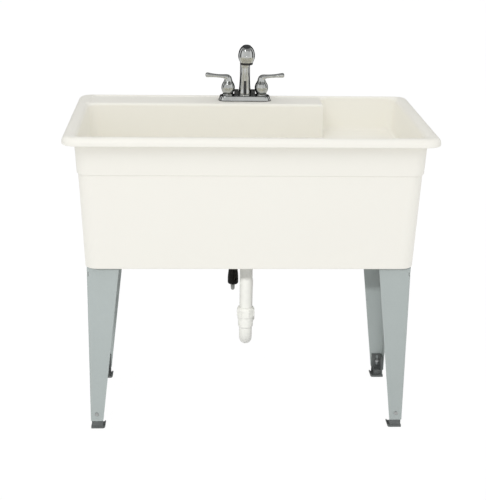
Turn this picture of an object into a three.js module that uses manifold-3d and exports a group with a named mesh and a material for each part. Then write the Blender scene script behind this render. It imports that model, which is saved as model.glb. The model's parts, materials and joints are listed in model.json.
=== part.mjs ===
// A laundry sink: a moulded tub with a back deck and a soap shelf, on four steel legs with levelling feet,
// with a two-handle faucet that has a pull-out spray, and a drain trap.
// Millimetres, +Z up. The origin is on the floor under the middle of the rim, +X is to the right and +Y is
// towards the wall.

import * as THREE from 'three';
import { mergeVertices } from 'three/addons/utils/BufferGeometryUtils.js';
import Module from 'manifold-3d';

const wasm = await Module();
wasm.setup();

// Clearances
const seatGap = 0.3; // between pieces that rest on or fit into each other
const runGap = 0.6; // between pieces that turn or slide past each other

// Tub: rim
const rimWidth = 1016;
const rimDepth = 610;
const rimHeight = 876; // floor to the top of the rim
const rimCornerRadius = 40;
const rimEdgeRadius = 14; // rounding along the rim's outer edge
const lipHeight = 22;
const sideOverhang = 30.6; // rim edge to the skirt band
const frontOverhang = 31;
const backOverhang = 12;
const flangeWidth = 38; // rim edge to the bowl's wall
const bowlEdgeRadius = 16; // rounding from the rim down into the bowl

// Tub: outside
const wall = 5;
const rimPlate = 8; // thickness of the rim's top
const footWall = 7; // wall along the body's lower edge
const bandHeight = 88; // lip to the step under the band
const bandTaper = 4.5;
const stepInset = 3.2;
const bodyHeight = 268; // step to the lower edge
const bodySideTaper = 12.7;
const bodyFrontTaper = 4;
const bodyBackTaper = 11;
const bodyCornerRadius = 36;
const bodyFootRadius = 3.5;

// Tub: inside
const drainFloor = 7; // thickness of the floor at the drain
const floorFall = 8; // floor's edge to the drain
const bowlCornerRadius = 30;
const bowlFloorRadius = 26;
const deckDepth = 127; // rim's back edge to the bowl
const deckDrop = 3; // deck below the rim
const deckEdgeRadius = 8;
const backRimWidth = 17;
const shelfWidth = 233;
const shelfDrop = 111; // rim to the shelf
const shelfFall = 4; // shelf's back to its front
const shelfCornerRadius = 24;
const shelfFloorRadius = 9;
const shelfSideStep = 0.5; // shelf's side wall inside the bowl's

// Tub: underside
const recessDepth = 28; // lower edge to the underside of the floor
const padWidth = 125; // corner pads that hold the legs
const moldSteps = 6; // facets in a quarter turn of the tub's corners
const smallestDetail = 0.02; // slivers under this size are closed after a cut

// Legs
const legSideInset = 55.1; // rim's side edge to the legs' outer faces
const legFrontInset = 65; // rim's front edge to the front legs' faces
const legBackInset = 156;
const legTopWidth = 90;
const legBottomWidth = 36;
const legSheet = 2;
const legCornerRadius = 3;
const legClearance = 24; // floor to the legs' lower ends
const legNotchSize = 5;
const legNotchTop = 16; // lower edge of the tub to the notch
const legNotchHeight = 12;
const legScrewRadius = 2.5;
const legScrewHead = 5;
const legScrewHeadHeight = 3;
const legScrewLength = 15;
const legScrewInset = 42;

// Levelling feet
const footStemHeight = 68; // floor to the top of the stem
const footStemWidth = 32;
const footStemWall = 5;
const footSoleHeight = 7;
const footSoleLength = 33;
const footToeLength = 8;
const footToeLift = 5;
const footToeEdge = 4; // thickness of the turned-up end
const footSlotTravel = 14; // each way from the bolt
const footBoltHeight = 46;
const footBoltInset = 18;
const footBoltRadius = 3;
const footBoltHead = 5.5;
const footBoltHeadHeight = 3.5;
const footBoltTail = 2;
const footNutRadius = 5.8;
const footNutHeight = 5;

// Drain
const drainFromFront = 259; // rim's front edge to the drain's middle
const flangeRadius = 42; // strainer's flange
const flangeThickness = 3;
const strainerRadius = 26; // outside of its threaded body
const strainerBore = 21;
const strainerLength = 52; // flange to the lower end
const strainerStepLength = 22; // narrower lower thread
const strainerStepRadius = 24;
const strainerBarWidth = 4;
const strainerBarHeight = 4;
const strainerBarDrop = 24;
const drainGasketRadius = 38;
const drainGasketThickness = 3;
const lockNutRadius = 37;
const lockNutHeight = 13;
const lockNutLugs = 6;
const stopperRadius = 23.5;
const stopperHeight = 16;
const stopperTaper = 2.2;
const stopperLip = 3;
const stopperLipRadius = 30;
const stopperKnobHeight = 14;
const stopperKnobRadius = 9;

// Trap
const tubeRadius = 19.05; // 1 1/2 inch tube
const tubeWall = 1.6;
const slipNutRadius = 25.5;
const slipNutHeight = 31;
const slipNutLip = 5;
const slipNutChamfer = 4; // how far the closed end tapers in
const slipNutShoulder = 7; // height of that taper
const slipNutLugs = 8;
const lugRadius = 2.3;
const topNutHeight = 25;
const tailFlange = 2.5; // thickness of the flared top of the tailpiece
const washerHeight = 3.5;
const trapNutTop = 305; // floor to the top of the slip nut on the U-bend
const trapSocketRadius = 22.6; // threaded hubs of the U-bend
const inletSocketDepth = 50;
const outletSocketDepth = 20;
const inletInsertion = 22; // tube inside the hub
const outletInsertion = 12;
const trapBendRadius = 48;
const trapBottom = 171; // floor to the underside of the U-bend
const trapSwing = THREE.MathUtils.degToRad(3.6); // the trap turned a little to the right
const outletNutDrop = 48; // outlet nut below the inlet nut
const armElbowRadius = 34;
const armLength = 112; // elbow's end to the open end
const tubeSides = 22;
const bendSteps = 10;

// Faucet: base
const faucetFromBack = 65; // rim's back edge to the faucet's middle
const handleSpacing = 101.6;
const baseWidth = 158;
const baseDepth = 55;
const baseHeight = 13;
const baseSlope = 3;
const baseCornerRadius = 20;
const baseWall = 4;
const baseGasketHeight = 2;
const bridgeHeight = 16; // blocks on the base between the spout and the handles
const bridgeDepth = 22;
const deckHoleRadius = 14;
const shankRadius = 10.3;
const shankBore = 6;
const shankLength = 55; // below the deck's top
const shankCollarRadius = 13.5;
const mountNutRadius = 21;
const mountNutHeight = 13;
const cartridgeRadius = 11;
const cartridgeHeight = 26;
const stemRadius = 4;
const stemHeight = 18;
const bonnetRadius = 17;
const bonnetHeight = 4;

// Faucet: handles
const bellRadius = 20.5;
const bellHeight = 58;
const leverLength = 69; // hub's axis to the tip
const leverRise = 6;
const leverThickness = 10;
const leverTipThickness = 12.5;

// Faucet: spout and spray
const collarRadius = 20;
const collarHeight = 4;
const spoutFootWidth = 38;
const spoutFootDepth = 39;
const spoutWaistWidth = 30;
const spoutWaistDepth = 33;
const spoutWaistHeight = 70;
const spoutMouthRadius = 15.5;
const spoutBore = 8.5;
const fluteWidth = 9; // upright groove at the front of the column's foot
const fluteHeight = 42;
const fluteDepth = 3;
const spoutReach = 26; // column's axis to the mouth
const spoutRise = 131; // collar to the middle of the mouth
const spoutBendHeight = 48; // start of the bend to the middle of the mouth
const sprayTilt = THREE.MathUtils.degToRad(14); // how steeply the spray pulls out
const headReach = 90; // column's axis to the head's axis
const headWidth = 49.5;
const headHeight = 52;
const headRise = 114.4; // collar's foot to the head's lower edge
const headOutletRadius = 19;
const headWall = 3;
const neckRadius = 14;
const outletFaceHeight = 6; // inside the head
const outletFaceProud = 6; // below the head
const buttonWidth = 24;
const buttonLength = 28; // from front to back
const buttonProud = 0.8; // above the head's surface
const buttonDepth = 12; // crown to the button's underside
const buttonForward = 3.5; // head's axis to the middle of the button

// Faucet: hose
const hoseRadius = 6;
const hoseRiserHeight = 62; // foot of the spout to the end of the hose in it
const hoseSides = 8;
const hoseSteps = 50;
const hoseLoopRadius = 25;
const stubInNeck = 22;
const stubInSpout = 12;
const hoseGuideRadius = 10;
const hoseGuideBore = 7;
const hoseGuideLength = 73; // below the deck's top
const outletTubeRadius = 4;
const outletTubeBore = 2.8;
const outletTubeOffset = 17; // behind the hose guide
const outletTubeLength = 95;
const hoseConnectorRadius = 8;
const hoseConnectorHeight = 38;
const weightX = -29;
const weightForward = 18; // faucet's middle to the weight
const weightDrop = 592; // deck to the weight's lower end
const weightHeight = 72;
const weightRadius = 17;
const weightTopRadius = 12;
const roundSides = 18;
const smallSides = 10;

// Heights that follow from the sizes above
const lipBottom = rimHeight - lipHeight;
const stepHeight = lipBottom - bandHeight;
const bodyBottom = stepHeight - bodyHeight;
const floorUnderside = bodyBottom + recessDepth;
const drainHeight = floorUnderside + drainFloor;
const deckTop = rimHeight - deckDrop;
const baseBottom = deckTop + baseGasketHeight;
const baseTop = baseBottom + baseHeight;
const handleX = handleSpacing / 2;

// Places that follow from the rim
const legSpan = rimWidth - 2 * legSideInset;
const legFront = rimDepth / 2 - legFrontInset;
const legBack = rimDepth / 2 - legBackInset;
const drainY = drainFromFront - rimDepth / 2;
const faucetY = rimDepth / 2 - faucetFromBack;
const weightY = faucetY - weightForward;
const weightBottom = deckTop - weightDrop;

// Geometry helpers

function tidy(geometry) {
  // one closed index with shared corners, no empty triangles and faces that point out
  const bare = geometry.clone();
  for (const name of Object.keys(bare.attributes)) {
    if (name !== 'position') bare.deleteAttribute(name);
  }
  bare.clearGroups();
  const merged = mergeVertices(bare, 1e-4);
  const position = merged.getAttribute('position');
  const index = merged.getIndex().array;
  const kept = [];
  let volume = 0;
  const [a, b, c] = [new THREE.Vector3(), new THREE.Vector3(), new THREE.Vector3()];
  for (let i = 0; i < index.length; i += 3) {
    const [p, q, r] = [index[i], index[i + 1], index[i + 2]];
    if (p === q || q === r || r === p) continue;
    kept.push(p, q, r);
    a.fromBufferAttribute(position, p);
    b.fromBufferAttribute(position, q);
    c.fromBufferAttribute(position, r);
    volume += a.dot(b.cross(c));
  }
  if (volume < 0) {
    for (let i = 0; i < kept.length; i += 3) [kept[i], kept[i + 1]] = [kept[i + 1], kept[i]];
  }
  merged.setIndex(kept);
  return merged;
}

function solidOf(geometry) {
  const clean = tidy(geometry);
  return new wasm.Manifold(new wasm.Mesh({
    numProp: 3,
    vertProperties: new Float32Array(clean.getAttribute('position').array),
    triVerts: new Uint32Array(clean.getIndex().array),
  }));
}

function geometryOf(solid) {
  const mesh = solid.asOriginal().simplify(smallestDetail).getMesh();
  const geometry = new THREE.BufferGeometry();
  geometry.setAttribute('position', new THREE.BufferAttribute(new Float32Array(mesh.vertProperties), 3));
  geometry.setIndex(new THREE.BufferAttribute(new Uint32Array(mesh.triVerts), 1));
  return geometry;
}

function join(first, ...others) {
  return geometryOf(others.reduce((sum, other) => sum.add(solidOf(other)), solidOf(first)));
}

function cut(base, ...tools) {
  return geometryOf(tools.reduce((rest, tool) => rest.subtract(solidOf(tool)), solidOf(base)));
}

function common(first, second) {
  return geometryOf(solidOf(first).intersect(solidOf(second)));
}

function loft(rings, level = true) {
  // a closed body through rings of equally many points, each anticlockwise seen from the last ring's side
  const count = rings[0].length;
  const points = rings.flat();
  const faces = [];
  for (let row = 0; row + 1 < rings.length; row += 1) {
    for (let i = 0; i < count; i += 1) {
      const next = (i + 1) % count;
      const [low, lowNext] = [row * count + i, row * count + next];
      const [high, highNext] = [low + count, lowNext + count];
      faces.push(low, lowNext, highNext, low, highNext, high);
    }
  }
  const outline = rings[0].map((point) => new THREE.Vector2(point.x, point.y));
  const last = (rings.length - 1) * count;
  if (level && THREE.ShapeUtils.area(outline) > 0) {
    for (const [a, b, c] of THREE.ShapeUtils.triangulateShape(outline, [])) {
      faces.push(a, c, b, last + a, last + b, last + c);
    }
  } else {
    const middle = (ring) => ring.reduce((sum, p) => sum.add(p), new THREE.Vector3()).divideScalar(count);
    points.push(middle(rings[0]), middle(rings.at(-1)));
    for (let i = 0; i < count; i += 1) {
      const next = (i + 1) % count;
      faces.push(points.length - 2, next, i, points.length - 1, last + i, last + next);
    }
  }
  const geometry = new THREE.BufferGeometry().setFromPoints(points);
  geometry.setIndex(faces);
  return geometry;
}

function ring({ x0, x1, y0, y1 }, radius, z, steps = moldSteps) {
  // a rounded rectangle at height z
  const points = [];
  const corners = [[x1, y0], [x1, y1], [x0, y1], [x0, y0]];
  corners.forEach(([x, y], quarter) => {
    const cx = x - Math.sign(x - (x0 + x1) / 2) * radius;
    const cy = y - Math.sign(y - (y0 + y1) / 2) * radius;
    for (let i = 0; i <= steps; i += 1) {
      const angle = ((quarter - 1 + i / steps) * Math.PI) / 2;
      points.push(new THREE.Vector3(cx + radius * Math.cos(angle), cy + radius * Math.sin(angle), z));
    }
  });
  return points;
}

function grow(plan, amount) {
  // the plan with its sides moved out, by one amount or by one for each side
  const by = typeof amount === 'number' ? { x0: amount, x1: amount, y0: amount, y1: amount } : amount;
  return { x0: plan.x0 - by.x0, x1: plan.x1 + by.x1, y0: plan.y0 - by.y0, y1: plan.y1 + by.y1 };
}

function between(low, high, share) {
  return low + (high - low) * share;
}

function blendPlans(low, high, share) {
  const plan = {};
  for (const side of ['x0', 'x1', 'y0', 'y1']) plan[side] = between(low[side], high[side], share);
  return plan;
}

function box(x0, x1, y0, y1, z0, z1) {
  const geometry = new THREE.BoxGeometry(x1 - x0, y1 - y0, z1 - z0);
  return geometry.translate((x0 + x1) / 2, (y0 + y1) / 2, (z0 + z1) / 2);
}

function rod(radius, z0, z1, x = 0, y = 0, sides = roundSides) {
  const geometry = new THREE.CylinderGeometry(radius, radius, z1 - z0, sides);
  return geometry.rotateX(Math.PI / 2).translate(x, y, (z0 + z1) / 2);
}

function rodAlongY(radius, y0, y1, x, z, sides = 16) {
  const geometry = new THREE.CylinderGeometry(radius, radius, y1 - y0, sides);
  return geometry.translate(x, (y0 + y1) / 2, z);
}

function turned(profile, sides = roundSides) {
  // a body of revolution about Z through points of radius and height
  const points = profile.map(([radius, z]) => new THREE.Vector2(radius, z));
  return new THREE.LatheGeometry(points, sides).rotateX(Math.PI / 2);
}

function collar(outer, inner, z0, z1, sides = roundSides) {
  return turned([[inner, z0], [outer, z0], [outer, z1], [inner, z1], [inner, z0]], sides);
}

function cord(path, radius, steps, sides) {
  const section = new THREE.Shape().setFromPoints(Array.from({ length: sides }, (_, i) => {
    const angle = (2 * Math.PI * i) / sides;
    return new THREE.Vector2(radius * Math.cos(angle), radius * Math.sin(angle));
  }));
  return new THREE.ExtrudeGeometry(section, { extrudePath: path, steps });
}

function sweep(stations, sides = roundSides) {
  // a body through ovals, each at a point of the YZ or XZ plane, square to its own direction
  return loft(stations.map(({ at, along, wide, deep, across }) => {
    const up = new THREE.Vector3().crossVectors(along, across).normalize();
    return Array.from({ length: sides }, (_, i) => {
      const angle = (2 * Math.PI * i) / sides;
      return at.clone()
        .addScaledVector(across, wide * Math.cos(angle))
        .addScaledVector(up, deep * Math.sin(angle));
    });
  }), false);
}

function mirrored(geometry, signX, signY) {
  return tidy(geometry.clone().applyMatrix4(new THREE.Matrix4().makeScale(signX, signY, 1)));
}

function finish(color, roughness, metalness) {
  return () => new THREE.MeshStandardMaterial({ color, roughness, metalness });
}

const whitePlastic = finish(0xf2efe8, 0.42, 0);
const trapPlastic = finish(0xf0efeb, 0.35, 0);
const steelPaint = finish(0xb4bbb8, 0.45, 0.1);
const footPlastic = finish(0x666a69, 0.6, 0);
const boltSteel = finish(0x9a9c9c, 0.4, 0.9);
const chrome = finish(0xd4d6d8, 0.08, 1);
const brass = finish(0xb9994f, 0.3, 1);
const blackRubber = finish(0x262523, 0.7, 0);
const greyBraid = finish(0x8b8c88, 0.5, 0.2);
const greyPlastic = finish(0x55585a, 0.5, 0);

const sink = new THREE.Group();

function add(name, geometry, material, parent = sink) {
  const clean = tidy(geometry);
  clean.computeVertexNormals();
  const mesh = new THREE.Mesh(clean, material());
  mesh.name = name;
  parent.add(mesh);
  return mesh;
}

// Tub

const rimPlan = { x0: -rimWidth / 2, x1: rimWidth / 2, y0: -rimDepth / 2, y1: rimDepth / 2 };
const bandTopPlan = grow(rimPlan, {
  x0: -sideOverhang, x1: -sideOverhang, y0: -frontOverhang, y1: -backOverhang,
});
const bandFootPlan = grow(bandTopPlan, -bandTaper);
const bowlBack = rimDepth / 2 - deckDepth;
const bodyTopPlan = { ...grow(bandFootPlan, -stepInset), y1: bowlBack + wall };
const bodyFootPlan = grow(bodyTopPlan, {
  x0: -bodySideTaper, x1: -bodySideTaper, y0: -bodyFrontTaper, y1: -bodyBackTaper,
});
const bowlTopPlan = { ...grow(rimPlan, -flangeWidth), y1: bowlBack };
const bowlStepPlan = grow(bodyTopPlan, -wall);
const bowlFootPlan = grow(
  blendPlans(bodyFootPlan, bodyTopPlan, (drainHeight - bodyBottom) / bodyHeight),
  -wall,
);

function bodyPlan(z) {
  return blendPlans(bodyFootPlan, bodyTopPlan, (z - bodyBottom) / bodyHeight);
}

function bandPlan(z) {
  return blendPlans(bandFootPlan, bandTopPlan, (z - stepHeight) / bandHeight);
}

function bowlPlan(z) {
  if (z < stepHeight) {
    return blendPlans(bowlFootPlan, bowlStepPlan, (z - drainHeight) / (stepHeight - drainHeight));
  }
  return blendPlans(bowlStepPlan, bowlTopPlan, Math.min(1, (z - stepHeight) / bandHeight));
}

const sideways = new THREE.Vector3(1, 0, 0);

function quarterTurn(steps) {
  return Array.from({ length: steps + 1 }, (_, i) => (Math.PI / 2) * (i / steps));
}

function edgeRounding(z, top, radius) {
  // how far an edge of this radius under a face at height top has opened at height z
  const rise = THREE.MathUtils.clamp(z - (top - radius), 0, radius);
  return radius - Math.sqrt(radius * radius - rise * rise);
}

function edgeLevels() {
  // heights at which the rounded edges of the rim and of the deck are cut, from low to high
  const levels = [lipBottom];
  for (const angle of quarterTurn(4)) {
    levels.push(rimHeight - bowlEdgeRadius * (1 - Math.sin(angle)));
    levels.push(deckTop - deckEdgeRadius * (1 - Math.sin(angle)));
  }
  return levels.sort((a, b) => a - b);
}

function rimBody() {
  const lowEdge = 1.5;
  const rings = [
    ring(grow(rimPlan, -lowEdge), rimCornerRadius - lowEdge, lipBottom),
    ring(rimPlan, rimCornerRadius, lipBottom + lowEdge),
  ];
  for (const angle of quarterTurn(5)) {
    const inset = rimEdgeRadius * (1 - Math.cos(angle));
    const z = rimHeight - rimEdgeRadius * (1 - Math.sin(angle));
    rings.push(ring(grow(rimPlan, -inset), rimCornerRadius - inset, z));
  }
  // hollow behind the turned-down lip
  const inside = grow(rimPlan, -wall);
  const radius = rimCornerRadius - wall;
  const ceiling = rimHeight - rimPlate;
  const hollow = loft([
    ring(inside, radius, lipBottom - 1),
    ring(inside, radius, ceiling - 4),
    ring(grow(inside, -4), radius - 4, ceiling),
  ]);
  return cut(loft(rings), hollow);
}

function bandBody() {
  const top = rimHeight - rimPlate / 2;
  const rounding = 2;
  return loft([
    ring(grow(bandPlan(stepHeight), -rounding), bodyCornerRadius - rounding, stepHeight),
    ring(bandPlan(stepHeight + rounding), bodyCornerRadius, stepHeight + rounding),
    ring(bandPlan(top), bodyCornerRadius, top),
  ]);
}

function lowerBody() {
  const rings = quarterTurn(3).map((angle) => {
    const inset = bodyFootRadius * (1 - Math.sin(angle));
    const z = bodyBottom + bodyFootRadius * (1 - Math.cos(angle));
    return ring(grow(bodyPlan(z), -inset), bodyCornerRadius - inset, z);
  });
  rings.push(ring(bodyTopPlan, bodyCornerRadius, stepHeight));
  rings.push(ring(bodyTopPlan, bodyCornerRadius, lipBottom + wall));
  return loft(rings);
}

function bowlHollow() {
  const floorEdge = drainHeight + floorFall;
  const drainSquare = flangeRadius + 6;
  const drainPlan = {
    x0: -drainSquare, x1: drainSquare, y0: drainY - drainSquare, y1: drainY + drainSquare,
  };
  const rings = [ring(drainPlan, drainSquare * 0.9, drainHeight)];
  for (const angle of quarterTurn(5)) {
    const inset = bowlFloorRadius * (1 - Math.sin(angle));
    const z = floorEdge + bowlFloorRadius * (1 - Math.cos(angle));
    rings.push(ring(grow(bowlPlan(z), -inset), bowlCornerRadius - inset, z));
  }
  rings.push(ring(bowlPlan(stepHeight), bowlCornerRadius, stepHeight));
  for (const z of edgeLevels()) {
    const out = edgeRounding(z, rimHeight, bowlEdgeRadius);
    const deckOut = edgeRounding(z, deckTop, deckEdgeRadius);
    rings.push(ring(grow(bowlPlan(z), { x0: out, x1: out, y0: out, y1: deckOut }), bowlCornerRadius, z));
  }
  const mouth = { x0: bowlEdgeRadius, x1: bowlEdgeRadius, y0: bowlEdgeRadius, y1: deckEdgeRadius };
  rings.push(ring(grow(bowlPlan(rimHeight), mouth), bowlCornerRadius, rimHeight + wall));
  return loft(rings);
}

const shelfRight = bowlTopPlan.x1 - shelfSideStep;
const shelfTopPlan = {
  x0: shelfRight - shelfWidth,
  x1: shelfRight,
  y0: bowlBack - 2 * shelfCornerRadius,
  y1: rimDepth / 2 - backRimWidth,
};
const shelfHeight = rimHeight - shelfDrop;

function shelfPlan(z) {
  const share = Math.min(1, (z - stepHeight) / bandHeight);
  const inset = between(bowlTopPlan.x1 - bowlStepPlan.x1, 0, Math.max(0, share));
  return grow(shelfTopPlan, { x0: 0, x1: -inset, y0: 0, y1: -inset });
}

function shelfHollow() {
  const rings = [];
  for (const angle of quarterTurn(3)) {
    const inset = shelfFloorRadius * (1 - Math.sin(angle));
    const z = shelfHeight + shelfFloorRadius * (1 - Math.cos(angle));
    const plan = grow(shelfPlan(z), { x0: -inset, x1: -inset, y0: 0, y1: -inset });
    const points = ring(plan, shelfCornerRadius - inset, z);
    for (const point of points) {
      point.z += (shelfFall * Math.max(0, point.y - bowlBack)) / (plan.y1 - bowlBack);
    }
    rings.push(points);
  }
  for (const z of edgeLevels()) {
    const out = edgeRounding(z, rimHeight, bowlEdgeRadius);
    const deckOut = edgeRounding(z, deckTop, deckEdgeRadius);
    const backOut = edgeRounding(z, rimHeight, deckEdgeRadius);
    rings.push(ring(grow(shelfPlan(z), { x0: deckOut, x1: out, y0: 0, y1: backOut }), shelfCornerRadius, z));
  }
  const mouth = { x0: deckEdgeRadius, x1: bowlEdgeRadius, y0: 0, y1: deckEdgeRadius };
  rings.push(ring(grow(shelfPlan(rimHeight), mouth), shelfCornerRadius, rimHeight + wall));
  return loft(rings);
}

function shelfUnderside() {
  const plan = {
    x0: shelfTopPlan.x0 - wall, x1: bodyTopPlan.x1, y0: bowlBack - wall, y1: bandFootPlan.y1 - 1,
  };
  return loft([
    ring(grow(plan, -2), shelfCornerRadius, shelfHeight - wall),
    ring(plan, shelfCornerRadius, shelfHeight - wall + 2),
    ring(plan, shelfCornerRadius, stepHeight + wall),
  ]);
}

function deckRecess() {
  const plan = {
    x0: bowlTopPlan.x0 + deckDrop, x1: bowlTopPlan.x1, y0: 0, y1: shelfTopPlan.y1 - deckDrop,
  };
  const opened = (share) => grow(plan, { x0: deckDrop * share, x1: 0, y0: 0, y1: deckDrop * share });
  return loft([
    ring(plan, shelfCornerRadius, deckTop),
    ring(opened(0.4), shelfCornerRadius, deckTop + 1),
    ring(opened(1.6), shelfCornerRadius, rimHeight),
    ring(opened(1.6), shelfCornerRadius, rimHeight + wall),
  ]);
}

function underDeckHollow() {
  const plan = (z) => ({
    x0: bandPlan(z).x0 + wall,
    x1: shelfTopPlan.x0 - wall,
    y0: bowlBack + wall,
    y1: bandPlan(z).y1 - wall,
  });
  const radius = 12;
  return loft([
    ring(plan(stepHeight - 2 * wall), radius, stepHeight - 2 * wall),
    ring(plan(stepHeight), radius, stepHeight),
    ring(plan(deckTop - wall - 4), radius, deckTop - wall - 4),
    ring(grow(plan(deckTop - wall), -4), radius - 4, deckTop - wall),
  ]);
}

function legRecess() {
  const x = legSpan / 2 + seatGap;
  const corners = { x0: -x, x1: x, y0: -legFront - seatGap, y1: legBack + seatGap };
  const inner = grow(bodyPlan(floorUnderside), -footWall);
  const middle = { x0: corners.x0 + padWidth, x1: corners.x1 - padWidth, y0: inner.y0, y1: inner.y1 - 2 };
  const low = bodyBottom - 1;
  return [
    loft([ring(corners, 2, low), ring(corners, 2, floorUnderside)]),
    loft([ring(middle, 12, low), ring(middle, 12, floorUnderside)]),
  ];
}

const legCorners = [];
for (const [place, signY, y] of [['front', -1, -legFront], ['back', 1, legBack]]) {
  for (const [side, signX] of [['left', -1], ['right', 1]]) {
    legCorners.push({ name: `${place}_${side}`, signX, signY, x: (signX * legSpan) / 2, y });
  }
}
const legScrewHeight = (bodyBottom + floorUnderside) / 2;

function tub() {
  const body = join(rimBody(), bandBody(), lowerBody(), shelfUnderside());
  const floorLow = floorUnderside - 1;
  const deckLow = deckTop - 2 * wall;
  const holes = [
    rod(
      flangeRadius + seatGap, drainHeight - flangeThickness, drainHeight + floorFall, 0, drainY, tubeSides,
    ),
    rod(strainerRadius + seatGap, floorLow, drainHeight, 0, drainY, tubeSides),
    rod(deckHoleRadius, deckLow, rimHeight, -handleX, faucetY),
    rod(deckHoleRadius, deckLow, rimHeight, handleX, faucetY),
    rod(hoseGuideRadius + seatGap, deckLow, rimHeight, 0, faucetY),
    rod(outletTubeRadius + seatGap, deckLow, rimHeight, 0, faucetY + outletTubeOffset, 12),
  ];
  for (const { signX, signY, x, y } of legCorners) {
    const from = y + signY * (legScrewLength + seatGap);
    const [low, high] = [Math.min(from, y), Math.max(from, y)];
    const screwX = x - signX * legScrewInset;
    holes.push(rodAlongY(legScrewRadius + seatGap, low - 1, high + 1, screwX, legScrewHeight, 10));
  }
  return cut(
    body, bowlHollow(), shelfHollow(), deckRecess(), underDeckHollow(), ...legRecess(), ...holes,
  );
}

add('tub', tub(), whitePlastic);

// Legs, feet and their fasteners, each made for a corner whose sides run along +X and +Y

function legRing(width, z) {
  // an angle section with a rounded corner
  const r = legCornerRadius;
  const flat = [
    [width, 0], [width, legSheet], [r, legSheet], [legSheet + 0.3, legSheet + 0.3], [legSheet, r],
    [legSheet, width], [0, width], [0, r], [r * 0.29, r * 0.29], [r, 0],
  ];
  return flat.map(([x, y]) => new THREE.Vector3(x, y, z));
}

function leg() {
  const top = floorUnderside - seatGap;
  const body = loft([
    legRing(legBottomWidth, legClearance),
    legRing(legTopWidth, bodyBottom),
    legRing(legTopWidth, top),
  ]);
  const notchTop = bodyBottom - legNotchTop;
  return cut(
    body,
    box(-1, legNotchSize, -1, legNotchSize, notchTop - legNotchHeight, notchTop),
    rodAlongY(footBoltRadius + seatGap, -1, legSheet + 1, footBoltInset, footBoltHeight),
    rodAlongY(legScrewRadius + seatGap, -1, legSheet + 1, legScrewInset, legScrewHeight),
  );
}

function foot() {
  const inner = legSheet + runGap;
  const far = inner + footStemWidth;
  const stem = join(
    box(inner, far, inner, inner + footStemWall, 1, footStemHeight),
    box(inner, inner + footStemWall, inner, far, 1, footStemHeight),
    box(inner, far - 6, inner, far - 6, 1, legClearance - 2),
  );
  const toe = footSoleLength + footToeLength;
  const sole = new THREE.Shape();
  sole.moveTo(0, 0);
  sole.lineTo(footSoleLength, 0);
  sole.quadraticCurveTo(toe, 0, toe, footToeLift + footToeEdge);
  sole.lineTo(toe - 3, footToeLift + footToeEdge + 0.5);
  sole.quadraticCurveTo(toe - 4, footSoleHeight - 2, footSoleLength - 3, footSoleHeight);
  sole.lineTo(0, footSoleHeight);
  const plate = new THREE.ExtrudeGeometry(sole, {
    depth: footSoleLength + 2, bevelEnabled: false, curveSegments: 4,
  });
  plate.rotateX(Math.PI / 2).translate(0.5, footSoleLength + 2.5, 0);
  const slotX = footBoltInset;
  const slotRadius = footBoltRadius + runGap;
  const [slotLow, slotHigh] = [footBoltHeight - footSlotTravel, footBoltHeight + footSlotTravel];
  const slotY = [inner - 1, inner + footStemWall + 1];
  return cut(
    join(stem, plate),
    box(slotX - slotRadius, slotX + slotRadius, ...slotY, slotLow, slotHigh),
    rodAlongY(slotRadius, ...slotY, slotX, slotLow),
    rodAlongY(slotRadius, ...slotY, slotX, slotHigh),
  );
}

const footNutStart = legSheet + runGap + footStemWall + seatGap;
const footBoltEnd = footNutStart + footNutHeight + footBoltTail;

function footBolt() {
  const domeStart = -seatGap - footBoltHeadHeight;
  const head = turned([
    [0, domeStart], [footBoltHead * 0.55, domeStart + 0.3], [footBoltHead, domeStart + 2],
    [footBoltHead, -seatGap], [footBoltRadius, -seatGap], [footBoltRadius, footBoltEnd], [0, footBoltEnd],
  ], 18);
  return head.rotateX(-Math.PI / 2).translate(footBoltInset, 0, footBoltHeight);
}

function footNut() {
  const nut = cut(
    new THREE.CylinderGeometry(footNutRadius, footNutRadius, footNutHeight, 6),
    new THREE.CylinderGeometry(footBoltRadius + seatGap, footBoltRadius + seatGap, footNutHeight + 2, 18),
  );
  return nut.translate(footBoltInset, footNutStart + footNutHeight / 2, footBoltHeight);
}

function legScrew() {
  const back = legSheet + seatGap;
  const screw = turned([
    [0, back + legScrewHeadHeight], [legScrewHead * 0.6, back + legScrewHeadHeight],
    [legScrewHead, back + 1], [legScrewHead, back], [legScrewRadius, back],
    [legScrewRadius, 3 - legScrewLength], [0, -legScrewLength],
  ], 16);
  return screw.rotateX(-Math.PI / 2).translate(legScrewInset, 0, legScrewHeight);
}

for (const { name, signX, signY, x, y } of legCorners) {
  const corner = new THREE.Group();
  corner.position.set(x, y, 0);
  sink.add(corner);
  const pieces = [
    [`leg_${name}`, leg(), steelPaint],
    [`foot_${name}`, foot(), footPlastic],
    [`foot_bolt_${name}`, footBolt(), boltSteel],
    [`foot_nut_${name}`, footNut(), boltSteel],
    [`leg_screw_${name}`, legScrew(), boltSteel],
  ];
  for (const [pieceName, geometry, material] of pieces) {
    add(pieceName, mirrored(geometry, -signX, -signY), material, corner);
  }
}

// Drain and trap, about the drain's axis

const drain = new THREE.Group();
drain.position.set(0, drainY, 0);
sink.add(drain);

const strainerTop = drainHeight;
const strainerBottom = strainerTop - strainerLength;
const strainerStepTop = strainerBottom + strainerStepLength;
const strainerClear = strainerRadius + seatGap;

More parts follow.
